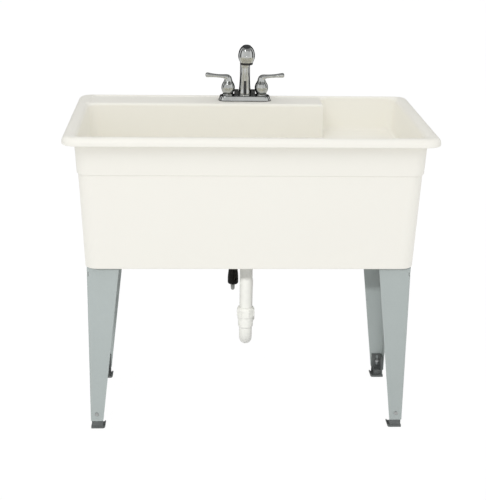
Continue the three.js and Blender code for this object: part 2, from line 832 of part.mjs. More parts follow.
function strainerBody() {
  const seat = strainerTop - flangeThickness;
  const body = turned([
    [strainerBore, strainerBottom], [strainerStepRadius, strainerBottom],
    [strainerStepRadius, strainerStepTop], [strainerRadius, strainerStepTop + 2],
    [strainerRadius, seat + seatGap], [flangeRadius, seat + seatGap],
    [flangeRadius, strainerTop - 0.8], [flangeRadius - 3, strainerTop],
    [stopperRadius + 2.4, strainerTop], [stopperRadius + runGap, strainerTop - 1.5],
    [stopperRadius + runGap - stopperTaper, strainerTop - stopperHeight - 1],
    [strainerBore, strainerTop - stopperHeight - 3], [strainerBore, strainerBottom],
  ], tubeSides);
  const barTop = strainerTop - strainerBarDrop;
  const barLow = barTop - strainerBarHeight;
  const half = strainerBarWidth / 2;
  const reach = strainerBore + 1;
  return join(
    body,
    box(-half, half, -reach, reach, barLow, barTop),
    box(-reach, reach, -half, half, barLow, barTop),
  );
}

const gasketTop = floorUnderside - seatGap;
const gasketLow = gasketTop - drainGasketThickness;
const lockNutTop = gasketLow - seatGap;
const lockNutLow = lockNutTop - lockNutHeight;

function lockNut() {
  const flange = collar(lockNutRadius, strainerClear, lockNutTop - 3, lockNutTop, tubeSides);
  const barrel = collar(lockNutRadius - 6, strainerClear, lockNutLow, lockNutTop - 1, tubeSides);
  const lugs = [];
  for (let i = 0; i < lockNutLugs; i += 1) {
    const lug = box(lockNutRadius - 8, lockNutRadius - 1, -3, 3, lockNutLow, lockNutTop - 1);
    lugs.push(lug.rotateZ((2 * Math.PI * i) / lockNutLugs));
  }
  return join(flange, barrel, ...lugs);
}

function slipNut(radius, bore, threadRadius, low, high, lipAtTop) {
  // a ribbed nut that grips a thread and closes with a lip round the tube
  const lipSide = lipAtTop ? high - slipNutLip : low + slipNutLip;
  const profile = lipAtTop
    ? [[threadRadius, low], [radius - 1.5, low], [radius, low + 2], [radius, high - slipNutShoulder],
      [radius - slipNutChamfer, high], [bore, high], [bore, lipSide], [threadRadius, lipSide],
      [threadRadius, low]]
    : [[bore, low], [radius - slipNutChamfer, low], [radius, low + slipNutShoulder], [radius, high - 2],
      [radius - 1.5, high], [threadRadius, high], [threadRadius, lipSide], [bore, lipSide], [bore, low]];
  const lugs = [];
  for (let i = 0; i < slipNutLugs; i += 1) {
    const angle = (2 * Math.PI * (i + 0.5)) / slipNutLugs;
    const [x, y] = [radius * Math.cos(angle), radius * Math.sin(angle)];
    lugs.push(rod(lugRadius, low + 5, high - 7, x, y, 6));
  }
  return join(turned(profile, tubeSides), ...lugs);
}

const topWasherTop = strainerBottom - seatGap;
const topWasherLow = topWasherTop - washerHeight;
const tailTop = topWasherLow - seatGap;
const topNutLow = tailTop - tailFlange - seatGap - slipNutLip;
const topNutHigh = topNutLow + topNutHeight;
const trapNutLow = trapNutTop - slipNutHeight;
const trapHubTop = trapNutTop - slipNutLip - washerHeight - 2 * seatGap;
const trapHubLow = trapHubTop - inletSocketDepth;
const outletNutTop = trapNutTop - outletNutDrop;
const outletNutLow = outletNutTop - slipNutHeight;
const outletHubTop = outletNutTop - slipNutLip - washerHeight - 2 * seatGap;
const outletHubLow = outletHubTop - outletSocketDepth;
const bendCentre = trapBottom + tubeRadius + trapBendRadius;
const tailBottom = trapHubTop - inletInsertion;
const armStart = outletHubTop - outletInsertion;

add('strainer_body', strainerBody(), whitePlastic, drain);
const drainGasket = collar(drainGasketRadius, strainerClear, gasketLow, gasketTop, tubeSides);
add('strainer_gasket', drainGasket, blackRubber, drain);
add('strainer_lock_nut', lockNut(), whitePlastic, drain);
add('tailpiece_nut', slipNut(
  strainerStepRadius + 5, tubeRadius + seatGap, strainerStepRadius + seatGap, topNutLow, topNutHigh, false,
), trapPlastic, drain);
const topWasher = collar(strainerStepRadius - 0.4, tubeRadius - tubeWall, topWasherLow, topWasherTop);
add('tailpiece_washer', topWasher, greyPlastic, drain);
add('tailpiece', turned([
  [tubeRadius - tubeWall, tailBottom], [tubeRadius, tailBottom], [tubeRadius, tailTop - tailFlange],
  [strainerStepRadius - 0.6, tailTop - tailFlange], [strainerStepRadius - 0.6, tailTop],
  [tubeRadius - tubeWall, tailTop], [tubeRadius - tubeWall, tailBottom],
], tubeSides), trapPlastic, drain);

const stopperTop = strainerTop + stopperLip + seatGap;

function stopper() {
  const low = strainerTop - stopperHeight;
  const flareLow = strainerTop + seatGap;
  const knobTop = stopperTop + stopperKnobHeight;
  return turned([
    [0, low], [stopperRadius - stopperTaper - 1, low], [stopperRadius - stopperTaper, low + 1],
    [stopperRadius - 0.2, flareLow - 0.1], [stopperLipRadius, flareLow], [stopperLipRadius, flareLow + 1],
    [stopperLipRadius - 3, stopperTop], [4, stopperTop + 1], [4, knobTop - 7],
    [stopperKnobRadius, knobTop - 4], [stopperKnobRadius, knobTop - 1],
    [stopperKnobRadius - 2, knobTop], [0, knobTop],
  ], tubeSides);
}
add('drain_stopper', stopper(), blackRubber, drain);

const trap = new THREE.Group();
trap.rotation.z = -trapSwing;
drain.add(trap);

function arcStations(centre, radius, from, to, steps) {
  // points on an arc in the YZ plane, from one angle about X to another
  return Array.from({ length: steps + 1 }, (_, i) => {
    const angle = between(from, to, i / steps);
    const turnSign = Math.sign(to - from);
    return {
      at: new THREE.Vector3(0, centre.y + radius * Math.cos(angle), centre.z + radius * Math.sin(angle)),
      along: new THREE.Vector3(0, -Math.sin(angle) * turnSign, Math.cos(angle) * turnSign),
    };
  });
}

function pipe(stations, radius, sides = tubeSides) {
  const round = (station) => ({ ...station, wide: radius, deep: radius, across: sideways });
  return sweep(stations.map(round), sides);
}

function bendStations(inletZ, outletZ) {
  // a half turn below the two hubs, from the inlet down and up to the outlet
  const centre = new THREE.Vector3(0, trapBendRadius, bendCentre);
  return [
    { at: new THREE.Vector3(0, 0, inletZ), along: new THREE.Vector3(0, 0, -1) },
    ...arcStations(centre, trapBendRadius, Math.PI, 2 * Math.PI, bendSteps),
    { at: new THREE.Vector3(0, 2 * trapBendRadius, outletZ), along: new THREE.Vector3(0, 0, 1) },
  ];
}

function uBend() {
  const innerRadius = tubeRadius - tubeWall - 0.4;
  const hubTaper = [
    [0, trapHubLow - 6], [tubeRadius, trapHubLow - 6], [trapSocketRadius, trapHubLow], [0, trapHubLow],
  ];
  const outside = join(
    pipe(bendStations(trapHubLow + 4, bendCentre + 1), tubeRadius),
    rod(trapSocketRadius, trapHubLow, trapHubTop, 0, 0, tubeSides),
    rod(trapSocketRadius, outletHubLow, outletHubTop, 0, 2 * trapBendRadius, tubeSides),
    turned(hubTaper, tubeSides),
  );
  return cut(
    outside,
    pipe(bendStations(trapHubTop + 1, outletHubTop + 1), innerRadius, 16),
    rod(tubeRadius + seatGap, tailBottom - seatGap, trapHubTop + 1, 0, 0, tubeSides),
    rod(tubeRadius + seatGap, armStart - seatGap, outletHubTop + 1, 0, 2 * trapBendRadius, tubeSides),
  );
}

function trapNut(low, high) {
  return slipNut(slipNutRadius, tubeRadius + seatGap, trapSocketRadius + seatGap, low, high, true);
}

function trapWasher(hubTop) {
  const low = hubTop + seatGap;
  return collar(trapSocketRadius - 0.2, tubeRadius + seatGap, low, low + washerHeight);
}

const armTurn = outletNutTop + 10;

function armStations() {
  // up out of the outlet hub, a quarter turn, and level towards the wall
  const centre = new THREE.Vector3(0, armElbowRadius, armTurn);
  return [
    { at: new THREE.Vector3(0, 0, armStart), along: new THREE.Vector3(0, 0, 1) },
    ...arcStations(centre, armElbowRadius, Math.PI, Math.PI / 2, 6),
    {
      at: new THREE.Vector3(0, armElbowRadius + armLength, armTurn + armElbowRadius),
      along: new THREE.Vector3(0, 1, 0),
    },
  ];
}

function trapArm() {
  const bore = armStations();
  bore[0].at.z -= 1;
  bore.at(-1).at.y += 1;
  return cut(pipe(armStations(), tubeRadius), pipe(bore, tubeRadius - tubeWall, 16));
}

add('trap_inlet_nut', trapNut(trapNutLow, trapNutTop), trapPlastic, trap);
add('trap_inlet_washer', trapWasher(trapHubTop), greyPlastic, trap);
add('trap_bend', uBend(), trapPlastic, trap);

const trapOutlet = new THREE.Group();
trapOutlet.position.y = 2 * trapBendRadius;
trap.add(trapOutlet);
add('trap_outlet_nut', trapNut(outletNutLow, outletNutTop), trapPlastic, trapOutlet);
add('trap_outlet_washer', trapWasher(outletHubTop), greyPlastic, trapOutlet);
add('trap_arm', trapArm(), trapPlastic, trapOutlet);

// Faucet: base, inlets and handles, about the middle of the base

const faucet = new THREE.Group();
faucet.position.set(0, faucetY, 0);
sink.add(faucet);

const basePlan = { x0: -baseWidth / 2, x1: baseWidth / 2, y0: -baseDepth / 2, y1: baseDepth / 2 };

function baseRing(inset, z) {
  return ring(grow(basePlan, -inset), baseCornerRadius - inset * 0.5, z, 5);
}

function faucetBase() {
  const shell = loft([
    baseRing(0, baseBottom), baseRing(0.4, baseBottom + 3), baseRing(baseSlope, baseTop - 3),
    baseRing(baseSlope + 1, baseTop - 1), baseRing(baseSlope + 3, baseTop),
  ]);
  const hollow = loft([
    baseRing(baseWall, baseBottom - 1), baseRing(baseSlope + baseWall, baseTop - baseWall),
  ]);
  const wells = [
    rod(cartridgeRadius + seatGap, baseBottom, baseTop + 1, -handleX),
    rod(cartridgeRadius + seatGap, baseBottom, baseTop + 1, handleX),
    rod(hoseGuideRadius + seatGap, baseBottom, baseTop + 1),
  ];
  return cut(join(shell, bridge(-1), bridge(1)), hollow, ...wells);
}

function bridge(side) {
  // a low block that keeps its running gap from the collar, the spout's foot and the handle's bell
  const nearest = Math.max(collarRadius, spoutFootDepth / 2) + runGap;
  const farthest = handleX - bellRadius - runGap;
  const low = baseTop - baseWall / 2;
  const high = baseTop + bridgeHeight;
  const ends = [side * (nearest - 2), side * (farthest + 2)].sort((a, b) => a - b);
  return cut(
    box(...ends, -bridgeDepth / 2, bridgeDepth / 2, low, high),
    rod(nearest, low - 1, high + 1, 0, 0, tubeSides),
    rod(handleX - farthest, low - 1, high + 1, side * handleX, 0, tubeSides),
  );
}

function baseGasket() {
  const sheet = loft([baseRing(-0.8, deckTop), baseRing(-0.8, baseBottom - 0.1)]);
  const holes = [-handleX, handleX].map((x) => rod(deckHoleRadius, deckTop - 1, baseBottom + 1, x));
  return cut(
    sheet, ...holes,
    rod(hoseGuideRadius + seatGap, deckTop - 1, baseBottom + 1),
    rod(outletTubeRadius + seatGap, deckTop - 1, baseBottom + 1, 0, outletTubeOffset, 12),
  );
}

const shankTop = baseTop - baseWall - seatGap;
const shankCollarLow = baseBottom + seatGap;
const shankBottom = deckTop - shankLength;

function inletShank() {
  return turned([
    [shankBore, shankBottom], [shankRadius - 1, shankBottom], [shankRadius, shankBottom + 1],
    [shankRadius, shankCollarLow], [shankCollarRadius, shankCollarLow], [shankCollarRadius, shankTop],
    [shankBore, shankTop], [shankBore, shankBottom],
  ]);
}

const mountNutTop = deckTop - wall - seatGap;

function mountNut() {
  const low = mountNutTop - mountNutHeight;
  const bore = shankRadius + seatGap;
  const barrel = shankRadius + 4.5;
  const body = turned([
    [bore, low], [barrel, low], [barrel, mountNutTop - 4], [mountNutRadius, mountNutTop - 3],
    [mountNutRadius, mountNutTop], [bore, mountNutTop], [bore, low],
  ]);
  const wings = [];
  for (let i = 0; i < 4; i += 1) {
    const wing = box(barrel - 1, mountNutRadius - 1, -1.6, 1.6, low, mountNutTop - 1);
    wings.push(wing.rotateZ((i * Math.PI) / 2 + Math.PI / 4));
  }
  return join(body, ...wings);
}

const cartridgeLow = shankTop + seatGap;
const cartridgeTop = cartridgeLow + cartridgeHeight;
const stemLow = cartridgeTop + seatGap;
const bonnetLow = baseTop + seatGap;
const bellLow = bonnetLow + bonnetHeight + runGap;

function cartridge() {
  return turned([
    [0, cartridgeLow], [cartridgeRadius, cartridgeLow], [cartridgeRadius, cartridgeTop - 6],
    [cartridgeRadius - 2, cartridgeTop - 5], [cartridgeRadius - 2, cartridgeTop], [0, cartridgeTop],
  ]);
}

function bonnet() {
  const bore = cartridgeRadius + seatGap;
  return turned([
    [bore, bonnetLow], [bonnetRadius, bonnetLow], [bonnetRadius + 0.6, bonnetLow + 1.4],
    [bonnetRadius - 0.6, bonnetLow + bonnetHeight], [bore, bonnetLow + bonnetHeight], [bore, bonnetLow],
  ], tubeSides);
}

function handle() {
  // a bell over the cartridge with a lever that leaves its top towards +X
  const top = bellLow + bellHeight;
  // shares of the bell's radius and height: a ball that narrows to a neck
  const outside = [
    [0.78, 0], [0.88, 0.08], [0.96, 0.18], [1, 0.3], [0.98, 0.4], [0.9, 0.49], [0.77, 0.57], [0.64, 0.65],
    [0.56, 0.74], [0.53, 0.86],
  ].map(([radius, height]) => [bellRadius * radius, bellLow + bellHeight * height]);
  const bell = turned([
    [0, bellLow], ...outside, [bellRadius * 0.41, top - 3.5], [bellRadius * 0.23, top - 0.8], [0, top],
  ], tubeSides);
  const across = new THREE.Vector3(0, 1, 0);
  const root = top - leverThickness * 0.75;
  // shares: length, rise, how level, width, thickness
  const stations = [
    [0, 0, 0.9, 0.5, 0.9], [0.12, 0.01, 0.94, 0.5, 0.62], [0.3, 0.2, 0.95, 0.46, 0.5],
    [0.6, 0.55, 0.98, 0.5, 0.46], [0.82, 0.82, 1, 0.62, 0.5], [0.93, 0.95, 1, 0.68, 0.52],
    [0.985, 1, 1, 0.55, 0.42], [1, 1, 1, 0.25, 0.2],
  ].map(([run, rise, level, wide, deep]) => ({
    at: new THREE.Vector3(run * leverLength, 0, root + rise * leverRise),
    along: new THREE.Vector3(level, 0, 1 - level + 0.12).normalize(),
    wide: wide * between(leverThickness, leverTipThickness, run) * 1.15,
    deep: deep * between(leverThickness, leverTipThickness, run),
    across,
  }));
  const lever = sweep(stations, 12);
  return cut(
    join(bell, lever),
    rod(cartridgeRadius + runGap, bellLow - 1, cartridgeTop + runGap),
    rod(stemRadius + seatGap, cartridgeTop, stemLow + stemHeight + seatGap, 0, 0, 12),
  );
}

for (const [side, x, turn] of [['hot', -handleX, Math.PI], ['cold', handleX, 0]]) {
  const valve = new THREE.Group();
  valve.position.x = x;
  faucet.add(valve);
  add(`${side}_inlet_shank`, inletShank(), brass, valve);
  add(`${side}_mounting_nut`, mountNut(), greyPlastic, valve);
  add(`${side}_cartridge`, cartridge(), brass, valve);
  add(`${side}_bonnet`, bonnet(), chrome, valve);
  add(`${side}_stem`, rod(stemRadius, stemLow, stemLow + stemHeight, 0, 0, 12), brass, valve);
  add(`${side}_handle`, handle().rotateZ(turn), chrome, valve);
}

add('faucet_base', faucetBase(), chrome, faucet);
add('faucet_gasket', baseGasket(), blackRubber, faucet);

// Faucet: spout and spray, in the plane over the middle of the base, towards -Y

const collarLow = baseTop + seatGap;
const spoutLow = collarLow + collarHeight + runGap;
const mouthHeight = collarLow + spoutRise;
const pullAxis = new THREE.Vector3(0, -Math.cos(sprayTilt), Math.sin(sprayTilt));
const mouth = new THREE.Vector3(0, -spoutReach, mouthHeight);

function spoutStations(sizeAt) {
  // the column rises and turns over into the pull direction
  const bendStart = mouthHeight - spoutBendHeight;
  const column = [0, 0.06, 0.2, 0.5, 0.8].map((share) => between(spoutLow, bendStart, share));
  const stations = column.map((z) => ({
    at: new THREE.Vector3(0, 0, z),
    along: new THREE.Vector3(0, 0, 1),
  }));
  const curve = new THREE.CubicBezierCurve3(
    new THREE.Vector3(0, 0, bendStart),
    new THREE.Vector3(0, 0, bendStart + 26),
    mouth.clone().addScaledVector(pullAxis, -20),
    mouth,
  );
  for (let i = 0; i <= 6; i += 1) {
    stations.push({ at: curve.getPoint(i / 6), along: curve.getTangent(i / 6).normalize() });
  }
  return stations.map((station, i) => {
    const rise = station.at.z - spoutLow;
    return { ...station, ...sizeAt(rise, i / (stations.length - 1)), across: sideways };
  });
}

function spout() {
  const shell = spoutStations((rise, share) => {
    const waist = Math.min(1, rise / spoutWaistHeight);
    const ease = 1 - (1 - waist) ** 2;
    const toMouth = THREE.MathUtils.smoothstep(share, 0.45, 1);
    return {
      wide: between(between(spoutFootWidth, spoutWaistWidth, ease) / 2, spoutMouthRadius, toMouth),
      deep: between(between(spoutFootDepth, spoutWaistDepth, ease) / 2, spoutMouthRadius, toMouth),
    };
  });
  const bore = spoutStations(() => ({ wide: spoutBore, deep: spoutBore }));
  bore.unshift({ ...bore[0], at: new THREE.Vector3(0, 0, spoutLow - 1) });
  bore.push({ ...bore.at(-1), at: mouth.clone().addScaledVector(pullAxis, 1) });
  const front = -spoutFootDepth / 2;
  const flute = box(
    -fluteWidth / 2, fluteWidth / 2, front - 1, front + fluteDepth, spoutLow - 1, spoutLow + fluteHeight,
  );
  return cut(sweep(shell, tubeSides), sweep(bore, smallSides), flute);
}

const headY = -headReach;
const headBottom = collarLow + headRise;
const headTop = headBottom + headHeight;

function eggProfile(inset, low) {
  // radius against height, widest two fifths of the way up
  const half = headWidth / 2 - inset;
  const widest = headBottom + headHeight * 0.38;
  const profile = [];
  for (let i = 0; i <= 4; i += 1) {
    const share = i / 4;
    const radius = between(headOutletRadius - inset * 0.2, half, Math.sin((share * Math.PI) / 2));
    profile.push([radius, between(low, widest, share)]);
  }
  for (let i = 1; i <= 7; i += 1) {
    const angle = (i / 7) * (Math.PI / 2);
    profile.push([half * Math.cos(angle) ** 0.86, widest + (headTop - inset - widest) * Math.sin(angle)]);
  }
  profile[profile.length - 1][0] = 0;
  return profile;
}

function egg(inset, low) {
  return turned([[0, low], ...eggProfile(inset, low)], tubeSides).translate(0, headY, 0);
}

const neckStart = mouth.clone().addScaledVector(pullAxis, runGap);
const neckLength = (headReach - spoutReach) / Math.cos(sprayTilt) - runGap;

function neckStations(radiusAt, from, to) {
  return [0, 0.08, 0.3, 0.55, 0.8, 1].map((share) => {
    const run = between(from, to, share);
    const radius = radiusAt(share);
    const at = neckStart.clone().addScaledVector(pullAxis, run);
    return { at, along: pullAxis, wide: radius, deep: radius, across: sideways };
  });
}

function buttonColumn(clearance, low, high) {
  // an upright oval bar through the crown
  const half = buttonWidth / 2 + clearance;
  const share = (buttonLength / 2 + clearance) / half;
  return rod(half, low, high, 0, 0, tubeSides).scale(1, share, 1).translate(0, headY - buttonForward, 0);
}

function buttonBody() {
  // an oval thumb pad that follows the crown, a little proud of it
  const column = buttonColumn(0, headTop - buttonDepth, headTop + buttonProud + 1);
  return common(column, egg(-buttonProud, headBottom));
}

function sprayHead() {
  const waist = (share) => 0.6 * Math.sin(Math.PI * share);
  const swell = (share) => between(spoutMouthRadius, neckRadius, waist(share)) + 3 * share;
  const neck = sweep(neckStations(swell, 0, neckLength), roundSides);
  const bore = sweep(neckStations(() => hoseRadius + runGap, -1, neckLength), smallSides);
  const well = buttonColumn(runGap, headTop - buttonDepth - 4, headTop + 2);
  return cut(join(egg(0, headBottom), neck), egg(headWall, headBottom - 1), bore, well);
}

function outletFace() {
  // a dark ring under the head with a plug that fits into it
  const plug = eggProfile(headWall, headBottom)[0][0] - seatGap;
  const low = headBottom - outletFaceProud;
  const flange = headBottom - seatGap;
  return turned([
    [0, low + 1], [headOutletRadius - 5, low + 1], [headOutletRadius - 3.5, low],
    [headOutletRadius - 1.5, low], [headOutletRadius - 0.4, low + 1.2], [headOutletRadius, flange],
    [plug, flange], [plug, flange + outletFaceHeight], [0, flange + outletFaceHeight],
  ], tubeSides).translate(0, headY, 0);
}

const spoutCollar = collar(
  collarRadius, hoseGuideRadius + seatGap, collarLow, collarLow + collarHeight, tubeSides,
);
add('spout_collar', spoutCollar, chrome, faucet);
add('spout', spout(), chrome, faucet);
add('spray_head', sprayHead(), chrome, faucet);
add('spray_outlet', outletFace(), greyPlastic, faucet);
add('spray_button', buttonBody(), greyPlastic, faucet);

// Faucet: hose, its guide, outlet and weight

const guideTop = baseTop - seatGap;
const guideBottom = deckTop - hoseGuideLength;
const connectorTop = deckTop - outletTubeLength;
const connectorBottom = connectorTop - hoseConnectorHeight;
const riserTop = spoutLow + hoseRiserHeight;
const outletTubeTop = baseBottom + 2;

add('hose_guide', collar(hoseGuideRadius, hoseGuideBore, guideBottom, guideTop), greyPlastic, faucet);
add('outlet_tube', collar(outletTubeRadius, outletTubeBore, connectorTop + seatGap, outletTubeTop, 12)
  .translate(0, outletTubeOffset, 0), brass, faucet);
add('hose_connector', turned([
  [0, connectorBottom], [hoseRadius, connectorBottom], [hoseConnectorRadius, connectorBottom + 2],
  [hoseConnectorRadius, connectorTop - 12], [hoseConnectorRadius + 1.5, connectorTop - 11],
  [hoseConnectorRadius + 1.5, connectorTop - 3], [hoseConnectorRadius, connectorTop], [0, connectorTop],
]).translate(0, outletTubeOffset, 0), brass, faucet);
add('hose_riser', rod(hoseRadius, guideBottom, riserTop, 0, 0, 12), greyBraid, faucet);

function hoseStub() {
  // the hose's end in the neck of the spray, reaching back into the spout's mouth
  const length = stubInNeck + stubInSpout;
  const stub = new THREE.CylinderGeometry(hoseRadius, hoseRadius, length, 12);
  stub.rotateX(Math.PI - sprayTilt);
  const middle = neckStart.clone().addScaledVector(pullAxis, (stubInNeck - stubInSpout) / 2);
  return stub.translate(middle.x, middle.y, middle.z);
}
add('hose_stub', hoseStub(), greyBraid, faucet);

// The free hose leaves the guide, hangs down through the weight, turns and climbs to the connector.
// Each point is its place across, its place behind the faucet's middle and its drop below the deck.
const frontStrand = -weightForward;
const backStrand = frontStrand + 2 * hoseLoopRadius;
const loopMiddle = frontStrand + hoseLoopRadius;
const loopDrop = weightDrop - 2;
const hosePoints = [
  [0, 0, deckTop - guideBottom + seatGap], [0, 0, 93], [-1, 0, 117], [-7, -4, 157], [-17, -11, 201],
  [-26, -16.5, 243], [weightX, frontStrand, 277], [weightX, frontStrand, 307], [weightX, frontStrand, 393],
  [weightX, frontStrand, 493], [weightX, frontStrand, 563], [weightX, frontStrand, loopDrop],
  [weightX, loopMiddle - 21.7, loopDrop + 13.4], [weightX, loopMiddle - 12.5, loopDrop + 22.6],
  [weightX, loopMiddle, loopDrop + 26], [weightX, loopMiddle + 12.5, loopDrop + 22.6],
  [weightX, loopMiddle + 21.7, loopDrop + 13.4], [weightX, backStrand, loopDrop],
  [weightX, backStrand, 553], [weightX, backStrand, 443], [weightX, backStrand, 333],
  [-25, 30.5, 273], [-15, 25, 221], [-5, outletTubeOffset + 2.5, 179], [0, outletTubeOffset, 149],
  [0, outletTubeOffset, deckTop - connectorBottom + seatGap],
].map(([x, back, drop]) => new THREE.Vector3(x, faucetY + back, deckTop - drop));
const hosePath = new THREE.CatmullRomCurve3(hosePoints, false, 'centripetal');
add('hose_loop', cord(hosePath, hoseRadius, hoseSteps, hoseSides), greyBraid);

function weight() {
  const bore = hoseRadius + runGap;
  const top = weightBottom + weightHeight;
  return turned([
    [bore + runGap * 2, weightBottom], [weightRadius - 3, weightBottom], [weightRadius, weightBottom + 5],
    [weightRadius, weightBottom + 20], [between(weightRadius, weightTopRadius, 0.4), weightBottom + 46],
    [weightTopRadius, top - 4], [weightTopRadius - 2.5, top], [bore, top], [bore, weightBottom + 8],
    [bore + runGap * 2, weightBottom],
  ]).translate(weightX, weightY, 0);
}
add('hose_weight', weight(), blackRubber);

export default sink;
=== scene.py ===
import json
import math

import bpy
from mathutils import Matrix, Vector

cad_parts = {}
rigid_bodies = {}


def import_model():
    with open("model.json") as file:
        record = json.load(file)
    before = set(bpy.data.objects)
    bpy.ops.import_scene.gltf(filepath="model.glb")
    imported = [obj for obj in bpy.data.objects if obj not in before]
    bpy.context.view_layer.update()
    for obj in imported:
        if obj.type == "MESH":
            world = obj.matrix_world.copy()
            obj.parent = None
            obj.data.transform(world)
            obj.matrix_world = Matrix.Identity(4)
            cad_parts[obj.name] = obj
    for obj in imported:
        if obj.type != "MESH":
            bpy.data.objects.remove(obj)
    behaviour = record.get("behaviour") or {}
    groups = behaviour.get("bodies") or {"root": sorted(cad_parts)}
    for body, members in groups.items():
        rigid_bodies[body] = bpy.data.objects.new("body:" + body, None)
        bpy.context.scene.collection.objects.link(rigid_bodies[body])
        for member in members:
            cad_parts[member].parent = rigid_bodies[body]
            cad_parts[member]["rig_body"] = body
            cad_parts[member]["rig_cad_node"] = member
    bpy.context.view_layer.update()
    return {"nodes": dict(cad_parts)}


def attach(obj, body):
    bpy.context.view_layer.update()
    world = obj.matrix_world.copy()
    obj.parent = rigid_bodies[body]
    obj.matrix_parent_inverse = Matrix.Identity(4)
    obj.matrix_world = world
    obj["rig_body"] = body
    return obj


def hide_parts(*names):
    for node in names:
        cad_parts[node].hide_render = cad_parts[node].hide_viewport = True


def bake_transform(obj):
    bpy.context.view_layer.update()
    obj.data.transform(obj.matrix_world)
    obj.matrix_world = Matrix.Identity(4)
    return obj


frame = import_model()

mm = 0.001
fullTurn = 2 * math.pi
pullAngle = 14  # degrees of the spray head's axis above level
pullTilt = math.radians(pullAngle)

print("camera")
cameraSetup = {
    "place": (-0.1646, -3.4043, 1.6020),
    "yaw": 2.624,  # degrees
    "pitch": 18.417,  # down
    "roll": 0.893,
    "focal": 1203.2,  # pixels
    "longSide": 500,  # of the image, in pixels
    "sensor": 36.0,
    "farthest": 200,
}


def addCamera(setup):
    yaw, pitch, roll = (math.radians(setup[key]) for key in ("yaw", "pitch", "roll"))
    ahead = Vector((
        math.sin(yaw) * math.cos(pitch), math.cos(yaw) * math.cos(pitch), -math.sin(pitch),
    ))
    level = Vector((math.cos(yaw), -math.sin(yaw), 0))
    above = level.cross(ahead)
    right = math.cos(roll) * level + math.sin(roll) * above
    up = math.cos(roll) * above - math.sin(roll) * level
    bpy.ops.object.camera_add()
    camera = bpy.context.object
    camera.name = "photo_camera"
    turn = Matrix((right, up, -ahead)).transposed().to_4x4()
    camera.matrix_world = Matrix.Translation(setup["place"]) @ turn
    camera.data.sensor_width = setup["sensor"]
    camera.data.lens = setup["focal"] * setup["sensor"] / setup["longSide"]
    camera.data.clip_end = setup["farthest"]
    bpy.context.scene.camera = camera


addCamera(cameraSetup)


def selectNone():
    if bpy.context.mode != "OBJECT":
        bpy.ops.object.mode_set(mode="OBJECT")
    bpy.ops.object.select_all(action="DESELECT")


def selectOnly(piece):
    selectNone()
    piece.select_set(True)
    bpy.context.view_layer.objects.active = piece


def edit(piece, action="SELECT"):
    # opens the piece with all of it selected, or nothing
    selectOnly(piece)
    bpy.ops.object.mode_set(mode="EDIT")
    bpy.ops.mesh.select_all(action=action)


def settle(piece):
    # the place, turn and size go into the mesh
    selectOnly(piece)
    bpy.ops.object.transform_apply(location=True, rotation=True, scale=True)
    return piece


class Wire:
    # one socket of a material, which can stand in an expression
    def __init__(self, finish, socket):
        self.finish = finish
        self.socket = socket

    def math(self, operation, *others):
        values = dict(enumerate((self, *others)))
        return self.finish.node("ShaderNodeMath", {"operation": operation}, values)

    def __add__(self, other):
        return self.math("ADD", other)

    def __mul__(self, other):
        return self.math("MULTIPLY", other)

    __radd__ = __add__


class Finish:
    # a material under construction
    def __init__(self, name):
        self.material = bpy.data.materials.new(name)
        self.material.use_nodes = True
        self.tree = self.material.node_tree
        self.shader = self.tree.nodes["Principled BSDF"]

    def feed(self, socket, value):
        if isinstance(value, Wire):
            self.tree.links.new(value.socket, socket)
        else:
            socket.default_value = value

    def node(self, kind, settings=None, values=None, output=0):
        made = self.tree.nodes.new(kind)
        for key, value in (settings or {}).items():
            setattr(made, key, value)
        for key, value in (values or {}).items():
            self.feed(made.inputs[key], value)
        return Wire(self, made.outputs[output])

    def place(self):
        return self.node("ShaderNodeTexCoord", output="Object")

    def noise(self, scale, detail=3.0, roughness=0.5):
        values = {"Vector": self.place(), "Scale": scale, "Detail": detail, "Roughness": roughness}
        return self.node("ShaderNodeTexNoise", None, values)

    def ramp(self, factor, low, high):
        # 0 below low, 1 above high, smooth between
        return self.node(
            "ShaderNodeMapRange", {"interpolation_type": "SMOOTHSTEP"},
            {"Value": factor, "From Min": low, "From Max": high},
        )

    def mix(self, factor, first, second):
        return self.node("ShaderNodeMix", {"data_type": "RGBA"}, {0: factor, 6: first, 7: second}, 2)

    def bump(self, height, strength, distance, **below):
        values = {"Height": height, "Strength": strength, "Distance": distance, **below}
        return self.node("ShaderNodeBump", None, values)

    def glow(self, strength):
        return self.node("ShaderNodeEmission", None, {"Color": (1, 1, 1, 1), "Strength": strength})

    def surface(self, shader):
        self.tree.links.new(shader.socket, self.tree.nodes["Material Output"].inputs["Surface"])

    def done(self, **values):
        for key, value in values.items():
            self.feed(self.shader.inputs[key.replace("_", " ")], value)
        return self.material


def srgb(red, green, blue):
    # a screen colour, 0 to 255, as the shader's linear one
    def linear(value):
        share = value / 255
        return share / 12.92 if share <= 0.04045 else ((share + 0.055) / 1.055) ** 2.4
    return (linear(red), linear(green), linear(blue), 1.0)


print("finishes")
tubFinish = {
    "colour": srgb(252, 250, 242),
    "shade": srgb(249, 247, 238),
    "roughness": 0.42,
    "grain": 0.00006,  # depth of the moulded texture
}


def tubPlastic(setup):
    finish = Finish("tub_plastic")
    cloud = finish.noise(3.5)
    grain = finish.noise(1400, 2)
    ripple = finish.noise(9, 2)
    scuff = finish.ramp(finish.noise(38, 5, 0.65), 0.62, 0.8)
    colour = finish.mix(cloud * 0.55, setup["colour"], setup["shade"])
    soft = finish.bump(ripple, 0.25, 0.0012)
    return finish.done(
        Base_Color=colour, Roughness=setup["roughness"] + grain * 0.06 + scuff * 0.05,
        Normal=finish.bump(grain, 0.35, setup["grain"], Normal=soft),
    )


# the trap's white plastic is set greyer than it is: partly painted shade for its place under the tub,
# which the key light lifts where it reaches
pipeFinish = {"colour": srgb(211, 211, 206), "shade": srgb(205, 205, 199), "roughness": 0.3}


